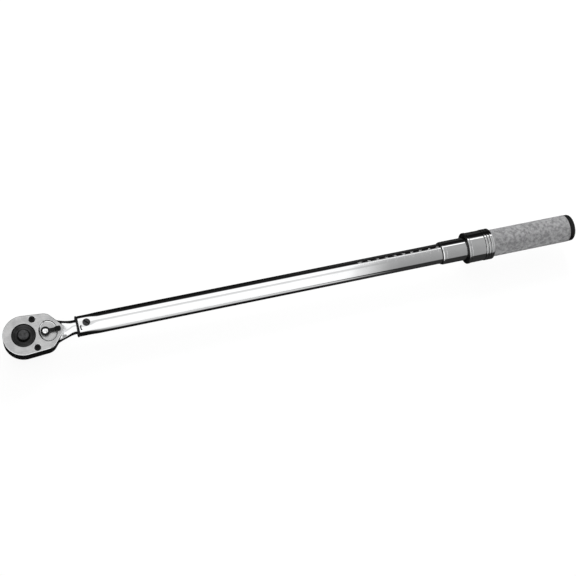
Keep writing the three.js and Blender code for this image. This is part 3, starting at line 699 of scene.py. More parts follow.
def coil_tree() -> bpy.types.GeometryNodeTree:
    """Makes the tree that winds a coil spring from round wire."""
    numbers = ["Radius", "Wire", "Turns", "Length"]
    inputs = {"Geometry": "Geometry", **{name: "Float" for name in numbers},
              "Turning": "Vector", "Place": "Vector", "Material": "Material"}
    wiring, given = new_tree("coil", "GeometryNodeTree", inputs, {"Geometry": "Geometry"})
    path = wiring.node("GeometryNodeCurveSpiral", {
        "Resolution": 32, "Rotations": given["Turns"], "Start Radius": given["Radius"],
        "End Radius": given["Radius"], "Height": given["Length"]})
    section = wiring.node("GeometryNodeCurvePrimitiveCircle", {"Resolution": 12, "Radius": given["Wire"]})
    wound = wiring.node("GeometryNodeCurveToMesh", {
        "Curve": path.outputs[0], "Profile Curve": section.outputs[0], "Fill Caps": True})
    turning = wiring.node("FunctionNodeEulerToRotation", {0: given["Turning"]}).outputs[0]
    laid = wiring.node("GeometryNodeTransform", {
        "Geometry": wound.outputs[0], "Rotation": turning, "Translation": given["Place"]})
    return finish_tree(wiring, laid.outputs[0], given["Material"])


# Surface effects shared by the finishes


def blotch_group() -> bpy.types.ShaderNodeTree:
    """Makes the soft clouds that handling and plating leave: a value between two levels."""
    inputs = {"Vector": "Vector", "Scale": "Float", "Low": "Float", "High": "Float"}
    wiring, given = new_tree("blotches", "ShaderNodeTree", inputs, {"Value": "Float"})
    noise = wiring.node("ShaderNodeTexNoise", {
        "Vector": given["Vector"], "Scale": given["Scale"], "Detail": 4.0, "Roughness": 0.6})
    value = wiring.ranged(noise.outputs[0], 0.35, 0.65, given["Low"], given["High"], smooth=True)
    wiring.node("NodeGroupOutput", {"Value": value})
    return wiring.tree


def tool_line_group() -> bpy.types.ShaderNodeTree:
    """Makes the fine lines that a lathe or a belt leaves: a tone round one, and a height."""
    inputs = {"Vector": "Vector", "Scale": "Float", "Contrast": "Float"}
    wiring, given = new_tree("tool_lines", "ShaderNodeTree", inputs, {"Tone": "Float", "Height": "Float"})
    noise = wiring.node("ShaderNodeTexNoise", {
        "Vector": given["Vector"], "Scale": given["Scale"], "Detail": 3.0, "Roughness": 0.7})
    swing = wiring.math("SUBTRACT", noise.outputs[0], 0.5)
    tone = wiring.math("ADD", 1.0, wiring.math("MULTIPLY", swing, given["Contrast"]))
    wiring.node("NodeGroupOutput", {"Tone": tone, "Height": noise.outputs[0]})
    return wiring.tree


def hairline_group() -> bpy.types.ShaderNodeTree:
    """Makes sparse hairline scratches: a mask that is one on a scratch."""
    inputs = {"Vector": "Vector", "Scale": "Float", "Amount": "Float"}
    wiring, given = new_tree("hairlines", "ShaderNodeTree", inputs, {"Mask": "Float"})
    total: Any = 0.0
    for turn, stretch in ((0.5, 9.0), (2.1, 14.0)):
        mapping = wiring.node("ShaderNodeMapping", {
            "Vector": given["Vector"], "Rotation": (0.3, turn, turn), "Scale": (1.0, stretch, 1.0)})
        cells = wiring.node("ShaderNodeTexVoronoi", {
            "Vector": mapping.outputs[0], "Scale": given["Scale"]}, feature="DISTANCE_TO_EDGE")
        line = wiring.ranged(cells.outputs[0], 0.0, 0.02, 1.0, 0.0)
        total = wiring.math("MAXIMUM", total, line)
    patches = wiring.node("ShaderNodeTexNoise", {"Vector": given["Vector"], "Scale": given["Scale"]})
    where = wiring.ranged(patches.outputs[0], 0.5, 0.62)
    mask = wiring.math("MULTIPLY", wiring.math("MULTIPLY", total, where), given["Amount"])
    wiring.node("NodeGroupOutput", {"Mask": mask})
    return wiring.tree


EFFECTS = {"blotches": blotch_group, "tool_lines": tool_line_group, "hairlines": hairline_group}


def effect(wiring: Wiring, name: str, inputs: dict[str, Any]) -> bpy.types.Node:
    """Places a shared effect in a material.

    Args:
        wiring: The material's wiring.
        name: Name of the effect.
        inputs: The effect's inputs.

    Returns:
        The group's node.
    """
    tree = bpy.data.node_groups.get(name) or EFFECTS[name]()
    return wiring.node("ShaderNodeGroup", inputs, node_tree=tree)


class Lay(Enum):
    """How a finish's fine lines run."""

    RINGS = "round the tube's axis"
    STRAIGHT = "along the wrench"
    DRIVE = "round the drive's axis"
    EVEN = "in no direction"

    def vector(self, wiring: Wiring, place: bpy.types.NodeSocket) -> bpy.types.NodeSocket:
        """Gives the coordinates in which the lines are drawn.

        Args:
            wiring: The material's wiring.
            place: The piece's own coordinates.

        Returns:
            Coordinates that barely change along a line.
        """
        x, y, z = wiring.parts(place)
        if self is Lay.RINGS:
            return wiring.vector(x)
        if self is Lay.STRAIGHT:
            return wiring.vector(wiring.math("MULTIPLY", x, 0.03), y, wiring.math("MULTIPLY", z, 0.2))
        if self is Lay.DRIVE:
            flat = wiring.vector(x, y)
            length = wiring.node("ShaderNodeVectorMath", {0: flat}, operation="LENGTH")
            return wiring.vector(length.outputs[1])
        return place


@dataclass(frozen=True)
class Finish:
    """A procedural surface, with the marks that making and handling leave on it.

    Attributes:
        name: Name of the material.
        slot: The record's material slot; not used.
        colour: Colour of the clean surface.
        shade: Colour of its darker patches.
        metallic: Share of metal in it.
        roughness: Middle roughness.
        spread: How far the roughness swings either way.
        lay: How its fine lines run.
        line_scale: Lines for each metre, roughly.
        contrast: How much the lines change the tone.
        relief: Height of the lines, in millimetres.
        scratches: Strength of its hairline scratches.
        clouds: Scale of its patches.
        coat: Weight of a clear coat.
        specular: Level of the surface's plain reflection.
    """

    name: str
    slot: str
    colour: tuple[float, float, float]
    shade: tuple[float, float, float]
    metallic: float
    roughness: float
    spread: float = 0.04
    lay: Lay = Lay.EVEN
    line_scale: float = 900.0
    contrast: float = 0.2
    relief: float = 0.002
    scratches: float = 0.3
    clouds: float = 60.0
    coat: float = 0.0
    specular: float = 0.5

    def material(self) -> bpy.types.Material:
        """Makes the material, or finds it where it has been made.

        Returns:
            The finish's material.
        """
        found = bpy.data.materials.get(self.name)
        if found:
            return found
        material = bpy.data.materials.new(self.name)
        material.use_nodes = True
        material.node_tree.nodes.clear()
        wiring = Wiring(material.node_tree)
        place = wiring.node("ShaderNodeTexCoord").outputs["Object"]
        lines = effect(wiring, "tool_lines", {
            "Vector": self.lay.vector(wiring, place), "Scale": self.line_scale, "Contrast": self.contrast})
        patches = effect(wiring, "blotches", {"Vector": place, "Scale": self.clouds, "Low": 0.0, "High": 1.0})
        scratched = effect(wiring, "hairlines", {
            "Vector": place, "Scale": self.clouds, "Amount": self.scratches}).outputs["Mask"]
        tint = wiring.node("ShaderNodeMix", {
            "Factor": patches.outputs[0], 6: (*self.colour, 1.0), 7: (*self.shade, 1.0)}, data_type="RGBA")
        toned = wiring.node("ShaderNodeVectorMath", {
            0: tint.outputs[2], "Scale": lines.outputs["Tone"]}, operation="SCALE")
        low, high = self.roughness - self.spread, self.roughness + self.spread
        gloss = wiring.ranged(patches.outputs[0], 0.0, 1.0, low, high)
        gloss = wiring.math("ADD", gloss, wiring.math("MULTIPLY", scratched, self.spread))
        height = wiring.math("SUBTRACT", lines.outputs["Height"], scratched)
        bump = wiring.node("ShaderNodeBump", {
            "Strength": 1.0, "Distance": self.relief * MM, "Height": height})
        shader = wiring.node("ShaderNodeBsdfPrincipled", {
            "Base Color": toned.outputs[0], "Metallic": self.metallic, "Roughness": gloss,
            "Normal": bump.outputs[0], "Coat Weight": self.coat, "Coat Roughness": 0.2,
            "Specular IOR Level": self.specular})
        wiring.node("ShaderNodeOutputMaterial", {"Surface": shader.outputs[0]})
        return material


CHROME = Finish("polished_chrome", "chrome", (0.90, 0.905, 0.91), (0.85, 0.855, 0.86), 1.0, 0.05,
                spread=0.02, lay=Lay.RINGS, contrast=0.03, relief=0.0002, scratches=0.25, clouds=45.0)
FORGED_CHROME = Finish("forged_chrome", "chrome", (0.87, 0.875, 0.88), (0.80, 0.805, 0.81), 1.0, 0.10,
                       spread=0.03, contrast=0.05, relief=0.001, line_scale=260.0)
SATIN_FACE = Finish("satin_face", "satin_steel", (0.56, 0.56, 0.56), (0.47, 0.472, 0.475), 1.0, 0.34,
                    spread=0.06, lay=Lay.STRAIGHT, line_scale=2200.0, contrast=0.6, relief=0.006,
                    clouds=110.0)
BLACK_OXIDE = Finish("oxide_black", "black_oxide", (0.011, 0.011, 0.0112), (0.006, 0.006, 0.006), 0.2,
                     0.4, spread=0.08, contrast=0.4, relief=0.006, line_scale=1400.0, scratches=0.6,
                     specular=0.15)
OXIDE_HUB = Finish("black_oxide_turned", "black_oxide", (0.045, 0.045, 0.046), (0.018, 0.018, 0.018), 0.6,
                   0.34, spread=0.07, lay=Lay.DRIVE, contrast=1.6, relief=0.006, line_scale=1700.0,
                   specular=0.12)
BLACKED_STEEL = Finish("blacked_steel", "dark_steel", (0.070, 0.070, 0.072), (0.035, 0.035, 0.036), 0.7,
                       0.38, spread=0.07, contrast=0.8, relief=0.006, line_scale=1500.0, clouds=260.0,
                       specular=0.2)
DARK_STEEL = Finish("tempered_steel", "dark_steel", (0.11, 0.11, 0.112), (0.075, 0.075, 0.078), 0.7, 0.38,
                    spread=0.07, contrast=0.5, relief=0.004, line_scale=1500.0)
GROUND_STEEL = Finish("ground_steel", "bright_steel", (0.62, 0.62, 0.62), (0.5, 0.5, 0.51), 1.0, 0.25,
                      spread=0.06, lay=Lay.RINGS, contrast=0.3, relief=0.002)
SPRING_STEEL = Finish("spring_wire", "spring_steel", (0.2, 0.2, 0.205), (0.12, 0.12, 0.125), 0.9, 0.35)
KNURLED_STEEL = Finish("knurled_grip", "knurled_steel", (0.42, 0.42, 0.425), (0.25, 0.25, 0.254), 0.45,
                       0.40, spread=0.08, contrast=0.9, relief=0.006, line_scale=500.0, clouds=260.0)
SEAL_RUBBER = Finish("gasket_rubber", "seal_rubber", (0.008, 0.008, 0.008), (0.012, 0.012, 0.012), 0.0, 0.72,
                     contrast=0.5, relief=0.01, scratches=0.0, specular=0.15)
CAP_PLASTIC = Finish("moulded_cap", "cap_plastic", (0.008, 0.008, 0.0082), (0.005, 0.005, 0.005), 0.0,
                     0.42, spread=0.06, contrast=0.3, relief=0.012, line_scale=1600.0, specular=0.12)
BRASS = Finish("turned_brass", "brass", (0.55, 0.37, 0.12), (0.42, 0.27, 0.09), 1.0, 0.3, lay=Lay.RINGS)
MARKING = Finish("frosted_marking", "satin_steel", (0.50, 0.50, 0.505), (0.40, 0.40, 0.40), 0.2, 0.6,
                 contrast=0.6, line_scale=2500.0)
INKED = Finish("inked_marking", "black_oxide", (0.03, 0.03, 0.03), (0.05, 0.05, 0.05), 0.0, 0.6)


# The ratchet head


@dataclass
class HeadShape:
    """Pear-shaped plan of the head: a round nose, two shoulders and a blunt tip.

    Attributes:
        nose: Radius of the nose, about the drive axis.
        shoulder: Place of the upper shoulder's centre.
        shoulder_radius: Radius of the shoulders.
        tip_station: Station of the tip's centre.
        tip: Radius of the tip.
        flank: Direction in which the flanks face, in degrees from +X.
        seam: Height of the joint between forging and plate.
        pivot: Station of the reversing lever's axis.
        screw: Place of the upper plate screw.
    """

    nose: float = Extent.of("head_body").radius
    shoulder: Point = (21.5, 8.0)
    shoulder_radius: float = 11.2
    tip_station: float = 37.9
    tip: float = 3.8
    flank: float = 40.0
    seam: float = Extent.of("cover_plate").low.z - GAP
    pivot: float = Extent.of("lever_screw").middle.x
    screw: Point = (Extent.of("cover_screw_left").middle.x, Extent.of("cover_screw_left").middle.y)

    @property
    def plate_end(self) -> float:
        """Station just past the face plate's tip."""
        return self.tip_station + self.tip + GAP

    def outline(self) -> list[Point]:
        """Gives the plan's counter-clockwise outline."""
        x, y = self.shoulder
        flank = math.radians(self.flank)
        meet = math.atan2(y, x) + math.acos((self.nose - self.shoulder_radius) / math.hypot(x, y))
        points = arc((0, 0), self.nose, meet, TURN - meet, 96)
        points += arc((x, -y), self.shoulder_radius, -meet, -flank, 20)
        points += arc((self.tip_station, 0), self.tip, -flank, flank, 20)
        points += arc((x, y), self.shoulder_radius, flank, meet, 20)[:-1]
        return [point for i, point in enumerate(points) if math.dist(point, points[i - 1]) > 1e-6]


@dataclass
class HeadForging:
    """Forged head with its neck and the arm that runs on into the tube.

    Attributes:
        shape: Plan of the head.
        bottom: Height of the underside.
        floor: Height of the gear room's floor.
        edge: Rounding of the lower rim.
        neck: Radius of the neck.
        flare: Stations where the flare starts and ends.
        flare_half: Half width of the flare where it leaves the head.
        boss: Radius, half thickness and end of the pivot boss.
        tail: Radius, half thickness and end of the tail arm.
        pawl_room: Radius and half angle of the room that the pawl swings in.
        pawl_hub: Radius of the room round the pawl's hub.
    """

    shape: HeadShape
    bottom: float = Extent.of("head_body").low.z
    floor: float = 20.0
    edge: float = 2.5
    neck: float = 7.5
    flare: Point = (30.0, 52.0)
    flare_half: float = 12.0
    boss: tuple[float, float, float] = (7.7, 6.5, 74.0)
    tail: tuple[float, float, float] = (7.0, 5.0, Extent.of("head_body").high.x)
    pawl_room: Point = (21.3, 0.75)
    pawl_hub: float = 7.4

    def _neck_blank(self) -> Workpiece:
        """Lofts the flare and the neck.

        Returns:
            A bar that eases from the head's width to the round neck.
        """
        start, end = self.flare
        low, neck_low = self.bottom + self.edge, TUBE_AXIS - self.neck
        clear = self.shape.plate_end
        stations = [(0.0, start - 8.0)]
        stations += [(t, (start + end) / 2 + (t - 0.5) * (end - start)) for t in np.linspace(0, 1, 15)]
        stations += [(1.0, Extent.of("mouth_seal").high.x + 1.0)]
        rings = []
        for share, station in stations:
            ease = share * share * (3 - 2 * share)
            half = self.flare_half + (self.neck - self.flare_half) * ease
            bottom = low + (neck_low - low) * ease
            climb = max(station - clear, 0.0) / (end - clear)
            climb = min(climb, 1.0) ** 2 * (3 - 2 * min(climb, 1.0))
            top = self.shape.seam + (TUBE_AXIS + self.neck - self.shape.seam) * climb
            height = (top - bottom) / 2
            corner = min(self.edge + 1 + 2.5 * (self.neck - self.edge - 1) * ease, half, height)
            ring = [(station, y, (top + bottom) / 2 + z) for y, z in rounded_box(half, height, corner)]
            rings.append(ring)
        return loft("neck", rings)

    def _arm(self) -> Workpiece:
        """Builds the flat-sided pivot boss and the slimmer tail behind it."""
        start = Extent.of("tube").low.x + GAP
        boss_radius, boss_half, boss_end = self.boss
        tail_radius, tail_half, tail_end = self.tail
        boss = turned("boss", rounded([(start, 0.1), (start, boss_radius, 0.5), (boss_end, boss_radius, 1.5),
                                       (boss_end, 0.1)]))
        boss.keep_inside(block((start - 1, -boss_half, 0), (boss_end + 1, boss_half, 60)))
        tail = turned("tail", [(boss_end - 1, tail_radius), (tail_end, tail_radius)])
        tail.keep_inside(block((boss_end - 2, -tail_half, 0), (tail_end + 1, tail_half, 60)))
        tilt = Extent.of("tilt_block")
        seat = upright("seat", [(0, tilt.radius + GAP), (60, tilt.radius + GAP)], (tilt.middle.x, 0))
        pin = Extent.of("pivot_pin")
        hole = upright("hole", [(0, pin.radius + GAP), (60, pin.radius + GAP)], (pin.middle.x, 0))
        return boss.add(tail).cut(seat, hole)

    def build(self) -> None:
        """Builds and dresses the forging."""
        shape = self.shape
        levels = edge_levels(self.bottom, shape.seam + 4, self.edge, 0)
        body = slab("head_forging", shape.outline(), levels).add(self._neck_blank())
        body.forge(0.42, 10)
        reach = 2 * self.shape.nose
        body.cut(block((-reach, -reach, shape.seam), (shape.plate_end, reach, 60)))
        gear = Extent.of("ratchet_gear")
        radius, span = self.pawl_room
        room = arc((0, 0), radius, -span, span, 24) + [(0.0, 0.0)]
        body.cut(
            drilled(self.pawl_hub, self.floor, shape.seam, (shape.pivot, 0)),
            drilled(gear.radius + 2 * GAP, self.floor, shape.seam, (0, 0)),
            slab("room", room, [(self.floor, 0), (shape.seam + 1, 0)]),
            upright("bore", [(0, 11.8 + GAP), (60, 11.8 + GAP)]),
            drilled(3.3 + GAP, 18.5, shape.seam, (shape.pivot, 0)),
        )
        for side in (1, -1):
            x, y = shape.screw
            body.cut(drilled(1.9 + GAP, shape.seam - 9, shape.seam, (x, side * y)))
        body.add(self._arm()).shade(40)
        body.fit(Body.HEAD, FORGED_CHROME, "head_body")


@dataclass
class FacePlate:
    """Satin face plate with its two socket screws.

    Attributes:
        shape: Plan of the head.
        edge: Rounding of the upper rim.
        hub_bore: Radius of the hole for the gear's hub.
        pocket: Station of the lever pocket's centre, and its radii along and across.
        pocket_floor: Height of the pocket's floor.
        bowl: Width of the rounding between the pocket's floor and its wall.
        screw_head: Radius of the screws' heads.
        screw_depth: Depth of their counterbores.
        socket: Radius of their hexagonal sockets, at the corners.
        shank: Radius and length of their shanks.
    """

    shape: HeadShape
    edge: float = 0.8
    hub_bore: float = 11.8 + GAP
    pocket: tuple[float, float, float] = (25.0, 9.6, 11.3)
    pocket_floor: float = 33.9
    bowl: float = 1.7
    screw_head: float = Extent.of("cover_screw_left").radius
    screw_depth: float = 2.0
    socket: float = 1.7
    shank: Point = (1.9, 9.0)

    def _pocket_tool(self) -> Workpiece:
        """Makes the tool for the lever's fan-shaped pocket, with a softened rim."""
        station, along, across = self.pocket
        angles = np.linspace(0, TURN, 72, endpoint=False)
        outline = [(station + along * math.cos(a), across * math.sin(a)) for a in angles]
        top = Extent.of("cover_plate").high.z
        deep = top - self.pocket_floor
        bowl = [(self.pocket_floor + deep * (1 - math.cos(a)), self.bowl * (1 - math.sin(a)))
                for a in np.linspace(0, TURN / 4 - 0.12, 9)]
        return slab("pocket", outline, bowl + [(top - 0.12, 0.0), (top + 0.5, -0.7)])

    def _in_pocket(self, centre: Vector) -> bool:
        """Tells whether a place lies in the lever's pocket."""
        station, along, across = self.pocket
        return math.hypot((centre.x - station) / (along + 0.8), centre.y / (across + 0.8)) < 1

    def _is_shaded_wall(self, centre: Vector, normal: Vector) -> bool:
        """Tells whether a face belongs to the pocket's steep wall, which is painted dark steel as shade."""
        return self._in_pocket(centre) and abs(normal.z) < 0.35

    def _is_polished_or_highlit(self, centre: Vector, normal: Vector) -> bool:
        """Tells whether a face belongs to a polished rim, or to the pocket's near side, which gets chrome as
        a painted highlight.
        """
        lean = abs(normal.z)
        if self._in_pocket(centre):
            # Only the near side of the pocket gets chrome: a painted highlight.
            return 0.35 < lean < 0.93 and normal.y < 0
        return lean < 0.96

    def _screw(self, name: str, centre: Point, top: float, turn: float) -> Workpiece:
        """Makes one socket-head screw.

        Args:
            name: Name of the piece.
            centre: Its axis.
            top: Height of its head's face.
            turn: Angle that it was left at when tightened, in radians.

        Returns:
            The screw.
        """
        radius, length = self.shank
        seat = top - self.screw_depth + 2 * GAP
        profile = rounded([(seat - length, radius - 0.3), (seat - length + 0.3, radius), (seat, radius),
                           (seat, self.screw_head), (top, self.screw_head, 0.35), (top, 0.2)])
        screw = upright(name, profile, centre)
        hexagon = arc(centre, self.socket, turn, turn + TURN, 6)[:-1]
        screw.cut(slab("socket", hexagon, [(top - 1.5, 0), (top - 0.2, 0), (top + 0.3, -0.35)]))
        return screw.shade()

    def build(self) -> None:
        """Builds and dresses the plate and its screws."""
        box = Extent.of("cover_plate")
        levels = [(box.low.z, 0.15), (box.low.z + 0.15, 0.0)]
        levels += edge_levels(box.low.z + 0.2, box.high.z, 0, self.edge)[1:]
        levels = [level for i, level in enumerate(levels) if level != levels[i - 1]]
        plate = slab("face_plate", self.shape.outline(), levels)
        plate.cut(drilled(self.hub_bore, 30, box.high.z, (0, 0), rim=0.25), self._pocket_tool(),
                  drilled(3.3 + GAP, 30, self.pocket_floor, (self.shape.pivot, 0)))
        x, y = self.shape.screw
        for side, name in ((1, "left"), (-1, "right")):
            centre = (x, side * y)
            seat = box.high.z - self.screw_depth
            plate.cut(drilled(self.shank[0] + GAP, 30, box.high.z, centre),
                      drilled(self.screw_head + GAP, seat, box.high.z, centre, rim=0.2))
            top = Extent.of(f"cover_screw_{name}").high.z
            screw = self._screw(f"plate_screw_{name}", centre, top, 0.4 * side)
            screw.fit(Body.HEAD, BLACK_OXIDE, f"cover_screw_{name}")
        plate.shade().fit(Body.HEAD, SATIN_FACE, "cover_plate")
        # The pocket's steep wall is painted dark steel as shade.
        # The rims are polished chrome; the chrome on the pocket's near side is a painted highlight.
        plate.dress_faces(CHROME, self._is_polished_or_highlit).dress_faces(DARK_STEEL, self._is_shaded_wall)


@dataclass
class RatchetDrive:
    """Ratchet gear with its hub and drive square, the release button and the detent ball.

    Attributes:
        half: Half the drive square's side.
        chamfer: Width of the square's chamfers.
        shoulder: Height where the square meets the hub.
        hub: Radius of the hub.
        teeth: Number of ratchet teeth.
        tooth_root: Radius of the teeth's roots.
        gear_span: Heights of the toothed band.
        well: Height of the button well's floor.
        rod: Radius of the release rod.
        sunk: Radius and depth of the sunk ring round the button.
    """

    half: float = 6.35
    chamfer: float = 1.1
    shoulder: float = 16.7
    hub: float = 11.8
    teeth: int = 36
    tooth_root: float = 13.1
    gear_span: Point = (20.4, 32.4)
    well: float = 24.5
    rod: float = 2.8
    sunk: Point = (Extent.of("release_button").radius + 1.3, 1.4)

    def _square(self) -> Workpiece:
        """Makes the drive square, with its four long edges and its tip broken."""
        corner = self.half - self.chamfer
        corners = [(self.half, -corner), (self.half, corner), (corner, self.half), (-corner, self.half),
                   (-self.half, corner), (-self.half, -corner), (-corner, -self.half), (corner, -self.half)]
        outline = rounded([(*place, 0.35) for place in corners], closed=True, steps=3)
        levels = [(0.0, self.chamfer), (0.12, 0.85), (self.chamfer - 0.1, 0.05), (self.chamfer + 0.2, 0.0),
                  (self.shoulder + 1, 0.0)]
        return slab("square", outline, levels)

    def _teeth(self) -> Workpiece:
        """Makes the band of ratchet teeth."""
        tip = Extent.of("ratchet_gear").radius
        flat = 0.12
        outline: list[Point] = []
        for i in range(self.teeth):
            for share, radius in ((-flat, tip), (flat, tip), (0.5 - flat, self.tooth_root),
                                  (0.5 + flat, self.tooth_root)):
                angle = TURN * (i + share) / self.teeth
                outline.append((radius * math.cos(angle), radius * math.sin(angle)))
        return slab("teeth", outline, [(self.gear_span[0], 0), (self.gear_span[1], 0)])

    def build(self) -> None:
        """Builds and dresses the gear, the button and the ball."""
        top = Extent.of("ratchet_gear").high.z
        button = Extent.of("release_button")
        hub = upright("ratchet_drive", rounded([
            (self.shoulder, 4.0), (self.shoulder, self.hub, 0.5), (top, self.hub, 0.6), (top, 9.6),
            (top - 0.18, 9.4, 0.1), (top - 0.18, 8.9, 0.1), (top, 8.7), (top, self.sunk[0], 0.2),
            (top - self.sunk[1], self.sunk[0] - 0.2, 0.2), (top - self.sunk[1], 4.0)]), facets=128)
        hub.add(self._teeth(), self._square())
        ball = Extent.of("detent_ball")
        mouth = turned("mouth", [(0, ball.radius - 0.1), (self.half + 1, ball.radius - 0.1)],
                       centre=(0, 0, ball.middle.z), facets=48)
        cage = turned("cage", [(0, ball.radius + 0.15), (self.half - 0.4, ball.radius + 0.15)],
                      centre=(0, 0, ball.middle.z), facets=48)
        hub.cut(drilled(button.radius + GAP, self.well, top, (0, 0)),
                drilled(self.rod + GAP, 3.0, self.well + 1, (0, 0)), mouth, cage)
        hub.shade(28).fit(Body.GEAR, OXIDE_HUB, "ratchet_gear")
        # The sunk ring round the button is painted black oxide, darker than the hub, as painted shade in the
        # recess.
        ring = self.sunk[0] + 0.1
        hub.dress_faces(BLACK_OXIDE, lambda centre, normal: math.hypot(centre.x, centre.y) < ring < centre.z)
        cap = upright("release_cap", rounded([
            (button.low.z, 2.0), (button.low.z, button.radius, 0.3), (button.high.z, button.radius, 0.7),
            (button.high.z, 4.2, 0.4), (button.high.z - 0.3, 3.8, 1.0), (button.high.z - 0.42, 0.3)]))
        cap.cut(upright("socket", [(button.low.z - 1, 2.0), (button.low.z + 3.3, 2.0)]))
        cap.shade().fit(Body.BUTTON, BLACKED_STEEL, "release_button")
        # The button's steep side wall is painted black oxide, darker than its top, as painted shadow.
        cap.dress_faces(BLACK_OXIDE, lambda centre, normal: abs(normal.z) < 0.6)
        sphere("detent_bearing", ball).fit(Body.DETENT, GROUND_STEEL, "detent_ball")


def sphere(name: str, extent: Extent, rings: int = 20) -> Workpiece:
    """Makes a round ball in a node's box.

    Args:
        name: Name of the piece.
        extent: Box of the CAD ball.
        rings: Number of rings from pole to pole.

    Returns:
        The ball.
    """
    centre, radius = extent.middle, extent.radius
    steps = [math.pi * (i + 0.5) / rings for i in range(rings)]
    profile = [(centre.z - radius * math.cos(a), radius * math.sin(a)) for a in steps]
    return turned(name, profile, Along.Z, centre, facets=2 * rings).shade(60)


@dataclass
class ReversingLever:
    """Reversing lever with its serrated thumb tab and cross-recessed screw.

    Attributes:
        hub: Radius of the lever's hub.
        top: Height of the hub and the arm.
        lift: The arm's clearance over the face plate.
        arm: Offsets of the arm's waist and end from the pivot.
        arm_half: Half widths of the arm at the hub and at its waist.
        tab: Radius of the thumb tab.
        rise: Height of the tab over the arm.
        serration: First offset, spacing, width and depth of the tab's cuts.
        cuts: Number of cuts.
        screw: Radius of the screw's head.
    """

    shape: HeadShape
    hub: float = 4.7
    top: float = 37.2
    lift: float = 0.4
    arm: Point = (9.0, 13.4)
    arm_half: Point = (2.6, 1.75)
    tab: float = 2.4
    rise: float = 1.3
    serration: tuple[float, float, float, float] = (10.1, 1.5, 0.7, 0.9)
    cuts: int = 3
    screw: float = 2.8

    def _lever(self) -> Workpiece:
        """Makes the lever: a round hub, a waisted arm and a thumb tab with cut serrations."""
        x = self.shape.pivot
        face = Extent.of("cover_plate").high.z + self.lift
        low = Extent.of("reversing_lever").low.z
        hub = upright("lever_handle", rounded([
            (low, 3.0), (low, self.hub, 0.4), (self.top, self.hub, 0.6), (self.top, 2.0)]), (x, 0))
        waist, end = self.arm
        near, slim = self.arm_half
        corners = [(x + 1.0, -near), (x + 5.5, -slim, 2.0), (x + waist, -slim, 2.0),
                   (x + waist + 1.2, -self.tab, 0.8), (x + end + self.tab, -self.tab, 1.9),
                   (x + end + self.tab, self.tab, 1.9), (x + waist + 1.2, self.tab, 0.8),
                   (x + waist, slim, 2.0), (x + 5.5, slim, 2.0), (x + 1.0, near)]
        outline = rounded(corners, closed=True)
        arm = slab("arm", outline, edge_levels(face, self.top, 0.2, 0.4, 3))
        tab_low, tab_high = x + waist + 0.9, x + end + self.tab
        tab_box = rounded_box((tab_high - tab_low) / 2, self.tab, 1.6)
        tab_line = [(u + (tab_high + tab_low) / 2, v) for u, v in tab_box]
        tab = slab("tab", tab_line, edge_levels(face, self.top + self.rise, 0.2, 0.4, 3))
        hub.add(arm, tab)
        first, spacing, width, depth = self.serration
        high = self.top + self.rise
        for i in range(self.cuts):
            start = x + first + i * spacing
            notch = [(start, high - depth), (start + width, high - depth), (start + width + 0.3, high + 0.5),
                     (start - 0.3, high + 0.5)]
            rings = [[(u, side * 4.0, v) for u, v in notch] for side in (-1, 1)]
            hub.cut(loft("notch", rings))
        hub.cut(drilled(self.screw + GAP, self.top - 0.9, self.top, (x, 0), rim=0.15),
                drilled(1.5, low - 1, self.top, (x, 0)))
        return hub.shade(28)

    def _screw(self) -> Workpiece:
        """Makes the domed screw with a cross recess and a slim shank."""
        x = self.shape.pivot
        box = Extent.of("lever_screw")
        seat = self.top - 0.6
        screw = upright("cross_screw", rounded([
            (box.low.z, 0.9), (box.low.z + 0.3, 1.2), (seat, 1.2), (seat, self.screw, 0.1),
            (box.high.z - 0.45, self.screw, 0.3), (box.high.z, 1.5, 1.2),
            (box.high.z, 0.3)], steps=5), (x, 0))
        for turn in (0.35, 0.35 + TURN / 4):
            long, wide, deep = 1.7, 0.34, 0.75
            bar = [(x - long, -wide), (x + long, -wide), (x + long, wide), (x - long, wide)]
            cross = slab("cross", bar, [(box.high.z - deep, 0.22), (box.high.z + 0.5, -0.05)])
            screw.cut(cross.turn(turn, "Z", (x, 0, 0)))
        return screw.shade(40)

    def build(self) -> None:
        """Builds and dresses the lever and its screw."""
        self._lever().fit(Body.LEVER, BLACK_OXIDE, "reversing_lever")
        self._screw().fit(Body.LEVER, CHROME, "lever_screw")


# The tube


